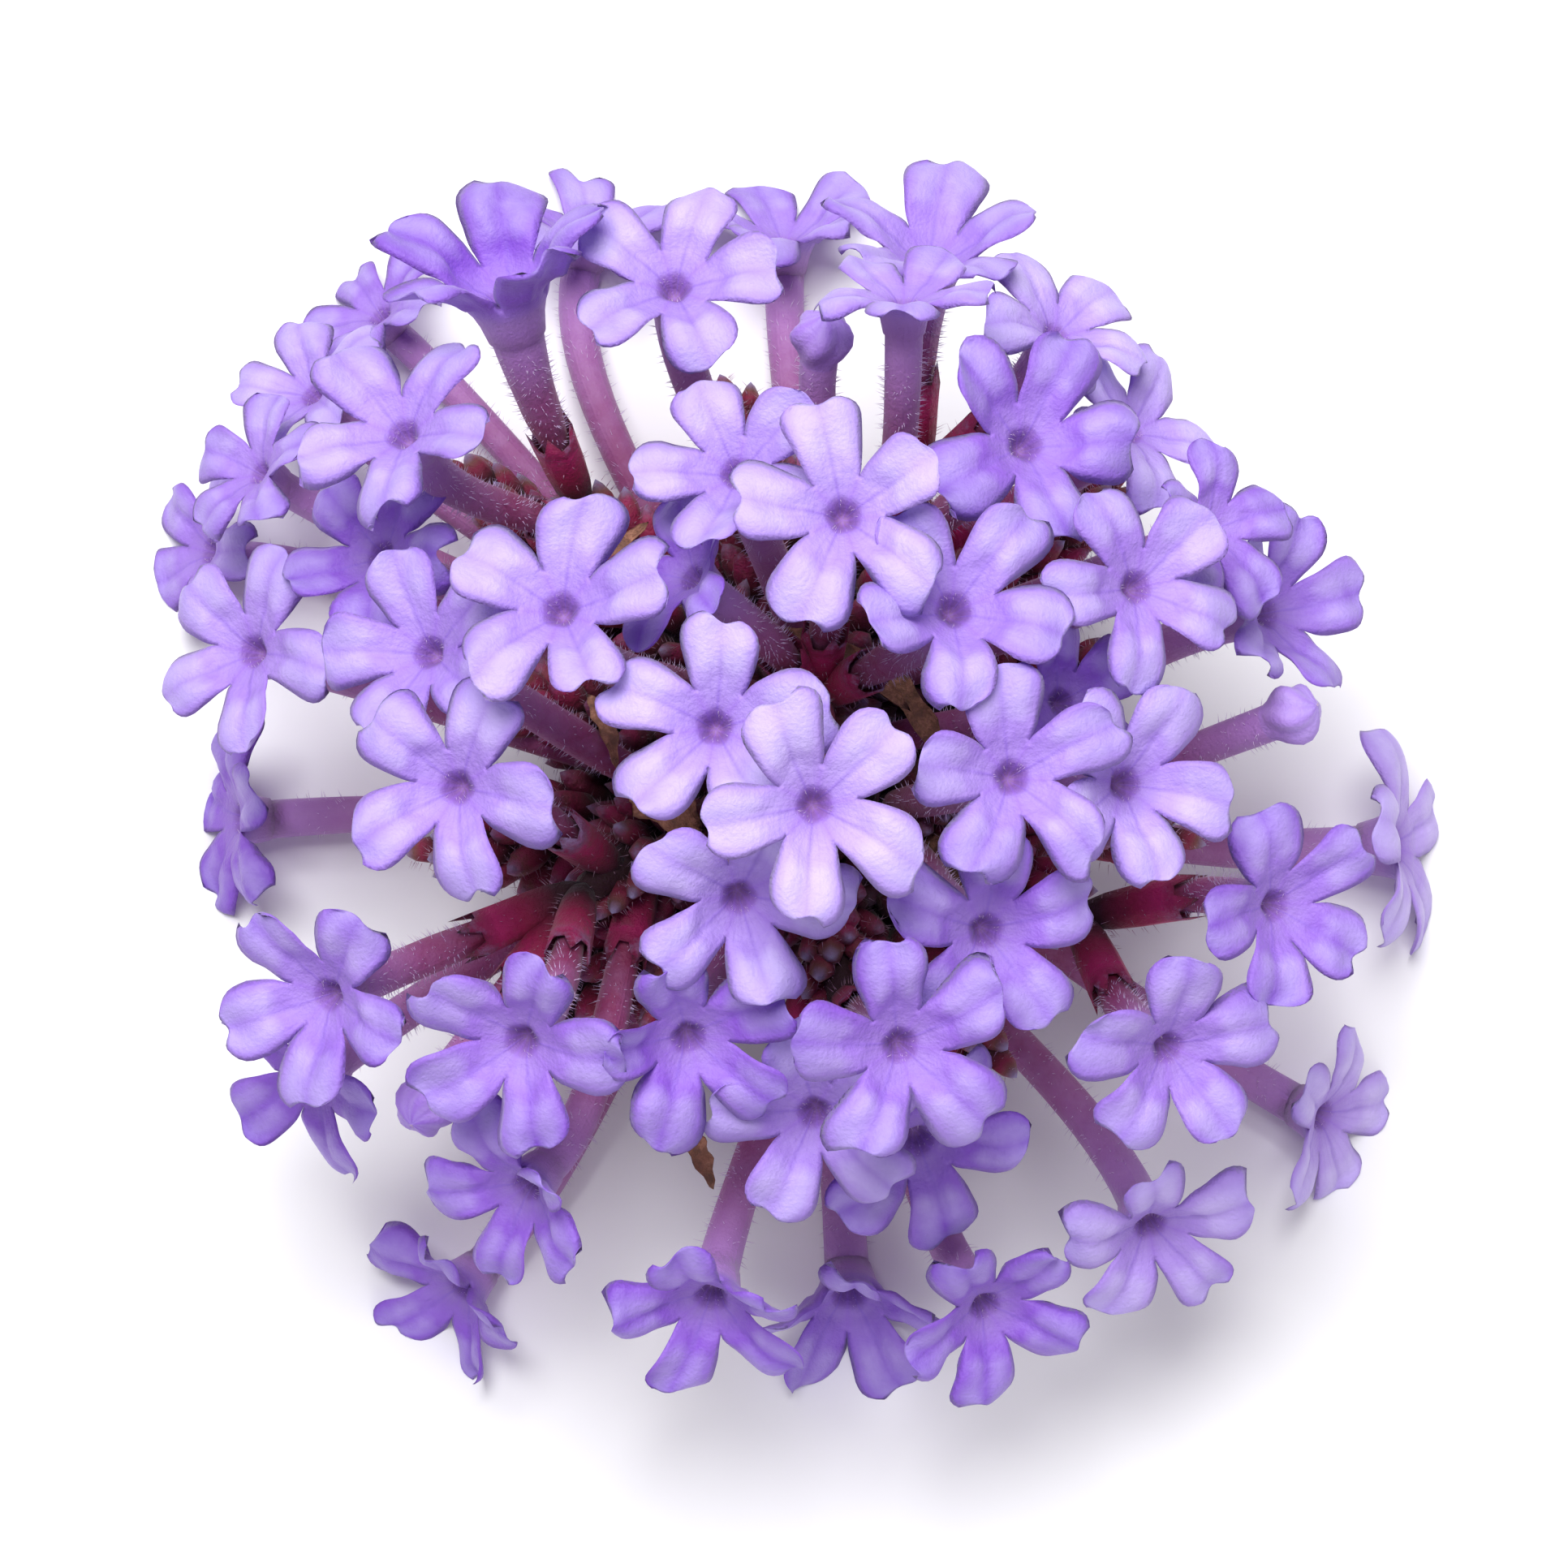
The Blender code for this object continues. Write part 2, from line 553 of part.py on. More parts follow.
def make_spikes(colour):
    """Spikes and calyces as one grown piece, with a socket for every tube that stands in it."""
    body = solid("calyces", [(FORK + rise * UPRIGHT, UPRIGHT, radius) for rise, radius in HUB],
                 STEM_SIDES, RIGHT)
    grown = []
    for letter in SPIKES:
        tip, axis, length = spike_of(letter)
        rings = [(FORK + share * length * axis, axis, radius)
                 for share, radius in zip(SPIKE_SHARES, SPIKE_RADII)]
        grown.append(solid("spike_" + letter, rings, SPIKE_SIDES, UP))
        grown += young_calyces(letter)
    sockets = [solid("socket_stem", stem_rings(SOCKET_ROOM), STEM_SIDES, RIGHT)]
    for name in [*FLORETS, *BUDS]:
        stance = open_stance if name in FLORETS else shut_stance
        _, _, rings, root, lean, facing = stance(name)
        ends = [(root, lean, CALYX_RADII[0]), (root + CALYX_LENGTH * lean, lean, CALYX_RADII[1])]
        grown.append(solid("calyx_" + name, ends, CALYX_SIDES, BUD_FACING))
        wider = [(centre, way, radius + SOCKET_ROOM) for centre, way, radius in rings]
        wider[0] = (rings[0][0] - SOCKET_ROOM * lean, *wider[0][1:])
        sockets.append(solid("socket_" + name, wider, TUBE_SIDES, facing))
    for name in DRY_BRACTS:
        sockets.append(solid("hollow_" + name, bract_rings(name, SOCKET_ROOM), BRACT_SIDES, UP))
    combine(body, gather("grown", grown), "UNION")
    combine(body, gather("sockets", sockets), "DIFFERENCE")
    keep_largest(body)
    body.data.materials.clear()
    body.data.materials.append(colour)


def main():
    for old in list(bpy.data.objects):
        bpy.data.objects.remove(old)
    lilac = paint("petal_lilac", LILAC, 0.55)
    for name in FLORETS:
        floret(name, lilac)
    for name in BUDS:
        bud(name, lilac)
    make_spikes(paint("calyx_crimson", CRIMSON, 0.8))
    solid("stem", stem_rings(), STEM_SIDES, RIGHT, colour=paint("stem_green", GREEN, 0.7))
    straw = paint("dry_straw", STRAW, 0.9)
    for name in DRY_BRACTS:
        solid(name, bract_rings(name), BRACT_SIDES, UP, colour=straw)


main()
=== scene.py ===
from math import cos, pi, radians, sin, sqrt

import bpy
import numpy as np
from mathutils import Matrix


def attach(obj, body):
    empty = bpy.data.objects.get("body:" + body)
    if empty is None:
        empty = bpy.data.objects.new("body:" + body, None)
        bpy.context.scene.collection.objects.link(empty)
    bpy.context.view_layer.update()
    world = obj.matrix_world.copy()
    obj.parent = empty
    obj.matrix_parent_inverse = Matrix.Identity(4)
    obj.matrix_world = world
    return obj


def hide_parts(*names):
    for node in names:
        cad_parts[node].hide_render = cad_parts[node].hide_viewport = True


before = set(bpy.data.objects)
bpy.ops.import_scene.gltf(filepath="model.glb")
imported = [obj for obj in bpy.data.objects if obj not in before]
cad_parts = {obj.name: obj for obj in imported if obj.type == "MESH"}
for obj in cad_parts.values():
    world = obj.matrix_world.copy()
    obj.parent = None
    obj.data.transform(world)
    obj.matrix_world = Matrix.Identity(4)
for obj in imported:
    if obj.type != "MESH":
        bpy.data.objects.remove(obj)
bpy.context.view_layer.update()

# The surface, the light and the line of sight.
# The head is looked at almost straight down, from a little in front of it, close by. Places seen
# below are millimetres across and up on a plane square to that line, through the head's rim.
MM = 0.001
scene = bpy.context.scene
SIGHT_ELEVATION = radians(76)
SIGHT_DISTANCE = 130.0
SEEN_HEIGHT = 4.5
RIGHT = np.array([1.0, 0.0, 0.0])
UP = np.array([0.0, sin(SIGHT_ELEVATION), cos(SIGHT_ELEVATION)])
BACK = np.array([0.0, -cos(SIGHT_ELEVATION), sin(SIGHT_ELEVATION)])
SEEN_CENTRE = np.array([0.0, 0.0, SEEN_HEIGHT])
EYE = SEEN_CENTRE + SIGHT_DISTANCE * BACK
MIDDLE = np.array([-0.07, 1.16, 0.0])
FRAME_WIDTH = 43.66
FRAME_SHIFT = (-0.32, 0.09)
LENS_SENSOR = 36.0


def set_inputs(node, values):
    """Gives the node's inputs these constants, by their names."""
    for socket, value in values.items():
        node.inputs[socket].default_value = value


def upright(name, data, place, right, up, back):
    """Links an object at a place in millimetres that looks along the reverse of back."""
    made = bpy.data.objects.new(name, data)
    scene.collection.objects.link(made)
    made.matrix_world = Matrix(np.vstack([np.stack([right, up, back, place * MM], axis=1),
                                          [0, 0, 0, 1]]).tolist())
    return made


lens = bpy.data.cameras.new("camera")
lens.sensor_width = LENS_SENSOR
lens.lens = LENS_SENSOR * SIGHT_DISTANCE / FRAME_WIDTH
lens.clip_start = 0.01
eye = EYE - MIDDLE + FRAME_SHIFT[0] * RIGHT + FRAME_SHIFT[1] * UP
scene.camera = upright("camera", lens, eye, RIGHT, UP, BACK)
scene.view_settings.view_transform = "Standard"

FLOOR_REACH = 1.5
FLOOR_COLOUR = (0.93, 0.93, 0.935, 1.0)
SKY_COLOUR = (0.93, 0.91, 1.0, 1.0)
SKY_STRENGTH = 0.38
LAMPS = {
    "key_light": ((-25, 50, 210), 140, 0.53),
    "fill_light": ((60, -160, 120), 160, 0.07),
}

floor_mesh = bpy.data.meshes.new("floor")
corners = ((-1, -1), (1, -1), (1, 1), (-1, 1))
floor_mesh.from_pydata([(FLOOR_REACH * x, FLOOR_REACH * y, 0) for x, y in corners], [],
                       [(0, 1, 2, 3)])
floor = bpy.data.objects.new("floor", floor_mesh)
scene.collection.objects.link(floor)
floor_paint = bpy.data.materials.new("floor_card")
floor_paint.use_nodes = True
set_inputs(floor_paint.node_tree.nodes["Principled BSDF"],
           {"Base Color": FLOOR_COLOUR, "Roughness": 0.9})
floor_mesh.materials.append(floor_paint)

sky = bpy.data.worlds.new("sky")
sky.use_nodes = True
set_inputs(sky.node_tree.nodes["Background"], {"Color": SKY_COLOUR, "Strength": SKY_STRENGTH})
scene.world = sky

for lamp_name, (lamp_place, lamp_width, lamp_power) in LAMPS.items():
    lamp = bpy.data.lights.new(lamp_name, "AREA")
    lamp.shape = "DISK"
    lamp.size = lamp_width * MM
    lamp.energy = lamp_power
    lamp_place = np.array(lamp_place, float)
    lamp_back = lamp_place / np.linalg.norm(lamp_place)
    lamp_right = np.cross([0.0, 1.0, 0.0], lamp_back)
    lamp_right /= np.linalg.norm(lamp_right)
    upright(lamp_name, lamp, lamp_place, lamp_right, np.cross(lamp_back, lamp_right), lamp_back)

# The corollas.
# Each is one slender tube that flares into five lobes round a hollow throat, thin and soft, lilac
# with a pale star round the throat. Each stands in a calyx and is dropped whole.
DOME_RADIUS = 16.6
RIM_HEIGHT = 3.4
DOME_RISE = 16.0
DOME_ROUNDS = 12
LOBES = 5
LOBE_TURN = 2 * pi / LOBES
COLLAR_RADIUS = 0.82
COLLAR_DROP = 0.55
TUBE_REACH = 0.36
TUBE_LOW = 1.1
SINUS = (1.0, 0.02)
LOBE_EDGE = ((1.55, 0.76, 0.15), (2.28, 0.98, 0.10), (2.86, 0.64, -0.12))
NOTCH = (2.76, 0.0, -0.04)
LOBE_HINGE = 0.75
LOBE_VARIETY = 0.06
SLOPE_VARIETY = 7
FORK = np.array([0.0, 0.6, 3.6])
CALYX_LENGTH = 3.0
CALYX_LEAN = radians(42)
CALYX_SPAN = (0.25, 0.96)
AIM_DROP = 3.0
FOOT_PRESS = 0.7
FLOOR_CLEARANCE = 0.2
SETTLING_ROUNDS = 4

# Spike tips, as millimetres across and up, and their height.
SPIKES = {
    "A": (-6.2, 8.2, 9.2), "B": (-6.2, -3.0, 9.6), "C": (0.6, 2.6, 10.8),
    "D": (8.2, -3.8, 8.8), "E": (3.4, 8.6, 9.6), "F": (1.4, -6.2, 9.2),
}

# By the number of each floret's solid: where its throat is seen, which way the floret looks (the
# sideways and upward parts of a unit vector, as seen), where one lobe points (degrees), its size,
# how steeply its lobes rise (degrees), how far it stands above the dome, its spike, and how violet
# it is, from 0 for pale to 1.
FLORETS = {
    "01": (-8.1, 13.8, -0.2, 0.8, 97, 1.22, 36, 2.4, "A", 0.9),
    "02": (-5.8, 15.4, 0.15, 0.88, 40, 1.0, 15, -2.0, "A", 0.6),
    "03": (-3.4, 14.0, 0.0, 0.45, 75, 1.0, 15, 0.8, "E", 0.25),
    "04": (-0.3, 15.3, 0.0, 0.91, 60, 1.02, 20, -1.0, "E", 0.6),
    "05": (3.7, 14.8, 0.08, 0.78, 82, 1.12, 30, 0.0, "E", 0.55),
    "07": (3.0, 13.6, 0.0, 0.9, 270, 0.85, 10, 1.6, "E", 0.5),
    "08": (7.3, 12.7, 0.4, 0.62, 50, 0.88, 15, 0.0, "E", 0.1),
    "09": (6.4, 9.6, 0.28, 0.25, 66, 1.03, 22, 0.0, "E", 0.8),
    "10": (9.4, 10.0, 0.55, 0.45, 55, 0.86, 10, -1.5, "E", 0.1),
    "11": (11.6, 7.2, 0.55, 0.2, 20, 0.82, 15, 0.6, "E", 0.8),
    "12": (9.5, 5.6, 0.35, 0.1, 45, 0.95, 18, 0.8, "E", 0.45),
    "13": (13.2, 4.9, 0.68, 0.15, 10, 1.0, 26, -1.8, "D", 0.7),
    "15": (-1.7, 8.8, -0.15, 0.35, 42, 0.92, 20, 0.0, "E", 0.3),
    "16": (1.3, 7.6, 0.05, 0.15, 103, 1.0, 20, 1.2, "C", 0.15),
    "17": (4.4, 5.0, 0.2, 0.25, 54, 1.03, 25, 0.2, "C", 0.5),
    "18": (-6.6, 5.0, -0.12, 0.32, 80, 1.03, 24, 0.5, "A", 0.25),
    "19": (-11.6, 6.5, -0.45, 0.25, 57, 0.88, 22, -1.7, "A", 1.0),
    "20": (-10.3, 3.8, -0.4, 0.22, 110, 0.98, 22, -0.4, "B", 0.5),
    "21": (-15.2, 3.8, -0.5, 0.12, 60, 0.97, 12, 0.0, "B", 0.4),
    "22": (-16.4, 6.6, -0.8, 0.2, 48, 0.88, 12, 0.0, "A", 0.7),
    "23": (-15.0, 8.8, -0.65, 0.4, 90, 0.8, 12, 2.9, "A", 0.65),
    "24": (-13.5, 11.0, -0.5, 0.5, 110, 0.86, 15, 1.2, "A", 0.3),
    "25": (-11.6, 13.2, -0.48, 0.62, 60, 0.82, 15, -2.4, "A", 0.7),
    "26": (-11.0, 9.9, -0.3, 0.45, 60, 0.97, 22, 2.1, "A", 0.4),
    "28": (-3.0, 5.9, -0.62, 0.45, 110, 0.8, 20, -1.7, "C", 0.95),
    "29": (-2.3, 1.7, -0.05, 0.1, 83, 1.0, 18, 0.0, "C", 0.1),
    "30": (0.5, -0.5, 0.12, -0.05, 45, 1.0, 18, 1.7, "C", 0.0),
    "31": (-1.6, -3.1, 0.1, -0.3, 72, 1.0, 24, -0.9, "F", 0.25),
    "32": (-9.5, 0.0, -0.25, -0.05, 63, 0.98, 20, 0.0, "B", 0.4),
    "33": (-15.6, -0.9, -0.93, 0.0, 90, 0.95, 5, 0.0, "B", 0.95),
    "34": (-13.1, -5.8, -0.45, -0.15, 50, 0.97, 22, 0.8, "B", 0.65),
    "35": (-13.5, -8.1, -0.6, -0.45, 58, 0.95, 20, -0.4, "B", 0.95),
    "36": (-7.7, -7.1, -0.25, -0.28, 66, 1.0, 22, 0.7, "B", 0.75),
    "37": (-7.6, -11.2, -0.5, -0.48, 100, 0.92, 30, 0.0, "B", 1.0),
    "38": (-9.4, -14.0, -0.6, -0.55, 60, 0.95, 28, 0.0, "B", 1.0),
    "39": (-3.0, -7.0, 0.15, -0.32, 35, 0.98, 24, -1.2, "F", 0.9),
    "40": (-2.4, -14.3, -0.15, -0.6, 40, 0.98, 30, 0.0, "F", 1.0),
    "41": (0.5, -9.1, -0.05, -0.28, 30, 0.98, 22, -2.1, "F", 0.45),
    "42": (2.9, -7.2, 0.18, -0.15, 30, 1.0, 20, 0.8, "F", 0.75),
    "43": (3.4, -9.9, 0.15, -0.45, 0, 1.0, 24, -3.9, "F", 0.9),
    "44": (1.5, -14.3, 0.05, -0.7, 20, 1.08, 36, 0.0, "F", 0.8),
    "45": (5.3, -14.5, 0.35, -0.45, 55, 0.92, 24, 0.0, "F", 1.0),
    "46": (6.0, 0.3, 0.15, 0.08, 30, 0.98, 24, 0.0, "D", 0.45),
    "47": (9.2, 0.1, 0.4, 0.0, 62, 0.97, 22, -0.3, "D", 0.2),
    "48": (5.3, -4.0, 0.25, -0.15, 15, 0.98, 20, -1.0, "D", 0.7),
    "49": (10.4, -7.3, 0.35, -0.3, 14, 0.97, 20, 0.0, "D", 0.6),
    "50": (9.9, -12.3, 0.25, -0.6, 30, 0.97, 24, 0.0, "F", 0.3),
    "51": (13.4, -3.3, 0.48, -0.1, 36, 0.95, 22, 0.0, "D", 0.75),
    "52": (16.9, -1.6, 0.93, 0.1, 90, 1.14, 0, 0.0, "D", 0.0),
    "53": (14.8, -9.2, 0.75, -0.3, 80, 0.98, 10, 0.0, "D", 0.05),
    "55": (7.4, 2.4, 0.3, 0.1, 30, 0.78, 20, -4.0, "C", 0.9),
}
FEET = ("02", "04", "22", "33", "38", "44", "52", "53")


def unit(vectors):
    """The vector, or each row of vectors, at length one."""
    return vectors / np.linalg.norm(vectors, axis=-1, keepdims=True)


def seen_at(across, up, height):
    """The point at this height that is seen that far across and up."""
    ray = SEEN_CENTRE + across * RIGHT + up * UP - EYE
    return EYE + ray * (height - EYE[2]) / ray[2]


def on_dome(across, up, lift):
    """The point of the dome that is seen there, raised by lift: each round takes the dome's height,
    rim + rise * sqrt(1 - (distance from the axis / radius)^2), at the place found before."""
    height = RIM_HEIGHT
    for _ in range(DOME_ROUNDS):
        place = seen_at(across, up, height)
        share = min(1.0, np.hypot(place[0], place[1]) / DOME_RADIUS)
        height = RIM_HEIGHT + DOME_RISE * sqrt(1 - share * share) + lift
    return seen_at(across, up, height)


def gaze_of(sideways, upward):
    """The unit vector toward the viewer's side that has these sideways and upward parts."""
    return sideways * RIGHT + upward * UP + sqrt(1 - sideways**2 - upward**2) * BACK


def limb_frame(gaze, spin):
    """The directions along the first lobe and aside from it, in the plane that the limb lies in."""
    seen = cos(radians(spin)) * RIGHT + sin(radians(spin)) * UP
    along = unit(seen - (seen @ gaze) * gaze)
    return along, np.cross(gaze, along)


def lobe_draws(number, cup):
    """How much longer and wider than the rest each of a floret's lobes is, and its slope."""
    draw = np.random.default_rng(int(number))
    rows = []
    for _ in range(LOBES):
        longer, wider = 1 + LOBE_VARIETY * draw.uniform(-1, 1, 2)
        rows.append((longer, wider, radians(cup + SLOPE_VARIETY * draw.uniform(-1, 1))))
    return np.array(rows)


def lowest_points(number, throat, gaze, spin, size, cup):
    """Heights of the lowest lobe edge and of the lowest sinus of a floret standing there."""
    along, aside = limb_frame(gaze, spin)
    corners = np.array([*LOBE_EDGE, *((d, -a, h) for d, a, h in LOBE_EDGE), NOTCH])
    edges, sinuses = [], []
    for k, (longer, wider, slope) in enumerate(lobe_draws(number, cup)):
        out = cos(k * LOBE_TURN) * along + sin(k * LOBE_TURN) * aside
        beyond = longer * (corners[:, 0] - LOBE_HINGE)
        distance = LOBE_HINGE + beyond * cos(slope) - corners[:, 2] * sin(slope)
        height = corners[:, 2] * cos(slope) + beyond * sin(slope)
        places = throat[2] + size * (distance * out[2] + height * gaze[2]
                                     + wider * corners[:, 1] * np.cross(gaze, out)[2])
        edges.append(places.min())
        gap = (k + 0.5) * LOBE_TURN
        rise = (SINUS[0] - LOBE_HINGE) * np.tan(radians(cup)) + SINUS[1]
        gap_out = cos(gap) * along[2] + sin(gap) * aside[2]
        sinuses.append(throat[2] + size * (SINUS[0] * gap_out + rise * gaze[2]))
    return min(edges), min(sinuses)


def settled(number, throat, gaze, spin, size, cup):
    """The throat's place once the floret is slid along the line of sight until it stands on the
    surface, if it is a foot, or clear of it."""
    for _ in range(SETTLING_ROUNDS):
        low, sinus = lowest_points(number, throat, gaze, spin, size, cup)
        if number in FEET:
            collar = throat[2] - size * (COLLAR_DROP * gaze[2]
                                         + COLLAR_RADIUS * sqrt(1 - gaze[2]**2))
            rise = max(-FOOT_PRESS - low, -min(collar, sinus))
        else:
            rise = max(0.0, FLOOR_CLEARANCE - low)
        throat = throat + (EYE - throat) * rise / (EYE[2] - throat[2])
    return throat


def calyx_of(letter, target):
    """Root and direction of the calyx on a spike that leans toward target."""
    tip = seen_at(*SPIKES[letter])
    axis = unit(tip - FORK)
    length = np.linalg.norm(tip - FORK)
    along = (target - FORK) @ axis
    away = np.linalg.norm(target - FORK - along * axis)
    low, high = CALYX_SPAN
    height = min(max(along - away / np.tan(CALYX_LEAN), low * length), high * length)
    root = FORK + height * axis
    return root, unit(target - root)


def bezier(start, start_way, end, end_way, shares):
    """Points and directions of the cubic curve that leaves start along start_way and arrives along
    end_way: (1-u)^3 a + 3(1-u)^2 u b + 3(1-u)u^2 c + u^3 d."""
    reach = TUBE_REACH * np.linalg.norm(end - start)
    a, b, c, d = start, start + reach * start_way, end - reach * end_way, end
    c = np.array([c[0], c[1], max(c[2], TUBE_LOW)])
    u = shares[:, None]
    s = 1 - u
    points = s**3 * a + 3 * s * s * u * b + 3 * s * u**2 * c + u**3 * d
    ways = 3 * s * s * (b - a) + 6 * s * u * (c - b) + 3 * u**2 * (d - c)
    return points, unit(ways)


def smooth(low, high, value):
    """0 below low, 1 above high and 3x^2 - 2x^3 between."""
    x = np.clip((value - low) / (high - low), 0, 1)
    return x * x * (3 - 2 * x)


def at_turns(turns, first, second):
    """The directions at these turns, from first toward second."""
    return np.cos(turns)[..., None] * first + np.sin(turns)[..., None] * second


def square_to(ways, near):
    """Two directions square to each other and to the way, or to each of the ways."""
    first = unit(np.cross(ways, near))
    return first, np.cross(ways, first)


def piece(name, points, faces, paint, marks, stands_for=()):
    mesh = bpy.data.meshes.new(name)
    mesh.from_pydata(((points - MIDDLE) * MM).tolist(), [], faces)
    for mark, values in marks.items():
        held = mesh.attributes.new(mark, "FLOAT", "POINT")
        held.data.foreach_set("value", np.ascontiguousarray(values, np.float32))
    mesh.shade_smooth()
    mesh.materials.append(paint)
    made = bpy.data.objects.new(name, mesh)
    scene.collection.objects.link(made)
    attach(made, "root")
    if stands_for:
        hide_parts(*stands_for)


WELDS_PER_MM = 1e4


def sewn(points, marks, closed):
    """One skin over rows of points, with four-cornered faces between each row and the next, which
    also run from the end of a row to its start if it is closed. Points that share a place become
    one, and faces that shrink to a line are dropped."""
    index = np.arange(points[..., 0].size).reshape(points.shape[:-1])
    here, after = index[..., :-1], index[..., 1:]
    if closed:
        here, after = index, np.roll(index, -1, axis=-1)
    quads = np.stack([here[:-1], after[:-1], after[1:], here[1:]], axis=-1).reshape(-1, 4)
    points = points.reshape(-1, 3)
    keys = np.round(points * WELDS_PER_MM).astype(np.int64)
    _, first, owner = np.unique(keys, axis=0, return_index=True, return_inverse=True)
    owner = owner.reshape(-1)
    faces = []
    for quad in owner[quads].tolist():
        kept = [c for i, c in enumerate(quad) if c != quad[i - 1]]
        if len(set(kept)) > 2:
            faces.append(kept)
    return points[first], faces, {mark: values.reshape(-1)[first]
                                  for mark, values in marks.items()}


ASIDE_STEPS = 10
THROAT_ROWS = np.array([[0.0, -0.68], [0.12, -0.66], [0.20, -0.57], [0.27, -0.43], [0.34, -0.29],
                        [0.42, -0.17], [0.50, -0.09]])
LIMB_SHARES = np.array([0.0, 0.05, 0.11, 0.18, 0.26, 0.34, 0.43, 0.52, 0.61, 0.70, 0.78, 0.85,
                        0.91, 0.95, 0.975])
MOUTH_ROWS = np.array([0.58, 0.67, 0.78, 0.89])
MOUTH_FADE = np.array([0.9, 0.7, 0.4, 0.1])[:, None, None]
THROAT_STAR = 0.05
COLLAR_ROWS = np.array([[0.93, -0.12], [0.83, -0.30], [0.73, -0.60], [0.64, -1.05]])
TUBE_ROWS = 16
TUBE_START = 1.1
TUBE_RADIUS, TUBE_FLARE, TUBE_SWELL = 0.40, 0.18, 0.04
ROOT_DEPTHS = (0.5, 1.0, 1.0)
ROOT_RADII = (0.38, 0.34, 0.0)
FLOOR_SOFTNESS = 0.02
LOBE_REACH = 2.95
LOBE_WIDEST = 1.04
WIDEST_AT = 0.68
CORNER_VARIETY = 0.09
SIDE_ROUNDING = 0.72
TIP_BLUNTNESS = 4.2
NOTCH_DEPTH = 0.07
NOTCH_WIDTH = 0.55
TIP_SWAY = 0.16
TIP_RIPPLE = 0.07
LOBE_SWAY = 0.07
ARCH = 0.20
DROOP, DROOP_VARIETY = 0.22, 0.30
PILLOW = 0.05
CREASE_DEPTH, CREASE_WIDTH = 0.13, 0.22
EDGE_FOLD, FOLD_VARIETY = 0.15, 0.24
LOBE_TWIST = 0.30
LOBE_WAVE = 0.10
PETAL_THICKNESS = 0.15
# How many degrees steeper the lobes at the back of a bell-shaped floret rise.
BELLS = {"01": 18}


def lobe_grid(draws, number):
    """The front of the limb in its own polar frame, as distance from the axis, turn and height over
    shares q of the way from sinus to tip (rows), lobes and steps aside (columns). The half-width
    grows as q^0.72 from the sinus to its widest place, then shrinks as sqrt(1 - beyond^4.2). The
    distance is start + length * q, less a bell-shaped notch. The height is an arch, sin(0.9 pi q),
    less a droop, q^2.4, a mid crease, exp(-(aside / width)^2), and edges turned down by |aside|^3,
    with a pillow on each half, a twist and one wave. Each lobe draws its own share of each, and the
    older, more violet florets curl more."""
    draw = np.random.default_rng(100 + int(number))
    q = LIMB_SHARES[:, None, None]
    aside = np.linspace(-1, 1, ASIDE_STEPS + 1)[None, None, :]
    longer, wider, slope = (draws[:, i][None, :, None] for i in range(3))
    twist, sway, droop, notch, left, right, corner = draw.uniform(-1, 1, (7, 1, LOBES, 1))
    phase = draw.uniform(0, 2 * pi, (2, 1, LOBES, 1))
    curl = 0.8 + 0.7 * FLORETS[number][9]
    start = SINUS[0]
    root_half = start * sin(LOBE_TURN / 2)
    widest_at = WIDEST_AT + CORNER_VARIETY * corner
    swell = np.clip(q / widest_at, 0, 1)**SIDE_ROUNDING
    beyond = np.clip((q - widest_at) / (1 - widest_at), 0, 1)
    half = (root_half + (LOBE_WIDEST - root_half) * swell) * np.sqrt(1 - beyond**TIP_BLUNTNESS)
    half = half * (1 + 1.7 * (wider - 1) * smooth(0, 0.3, q))
    length = (LOBE_REACH - start) * (1 + (longer - 1) * 1.2)
    tip = smooth(0.5, 1, q)
    dip = NOTCH_DEPTH * (1 + 0.9 * notch) * np.exp(-(aside / NOTCH_WIDTH)**2)
    ripple = TIP_SWAY * sway * aside + TIP_RIPPLE * np.sin(3.6 * aside + phase[0])
    distance = start + length * q + tip * (ripple - dip)
    turn = aside * np.arcsin(np.clip(half / (start + length * q), 0, sin(LOBE_TURN / 2)))
    turn = turn + LOBE_SWAY * sway * smooth(0.1, 1, q)
    size_aside = np.abs(aside)
    fold = np.where(aside > 0, right, left)
    height = 0.06 + ARCH * np.sin(pi * q * 0.9) - (DROOP + DROOP_VARIETY * curl * droop) * q**2.4
    height = height + PILLOW * np.sin(pi * q)**0.7 * (1 - (2 * size_aside - 1)**2)
    groove = CREASE_DEPTH * np.exp(-(aside / CREASE_WIDTH)**2)
    height = height - groove * smooth(0, 0.15, q) * (1 - 0.95 * q)
    edges = (EDGE_FOLD + FOLD_VARIETY * curl * fold) * size_aside**3
    height = height - edges * smooth(0.05, 0.45, q)
    height = height + LOBE_TWIST * curl * twist * aside * smooth(0.1, 1, q)
    wave = np.sin(5 * q + 3.2 * aside + phase[1])
    height = height + LOBE_WAVE * curl * smooth(0.25, 1, q) * wave
    flat = np.ones_like(height)
    return distance * flat, turn * flat, height, slope * flat, q, aside


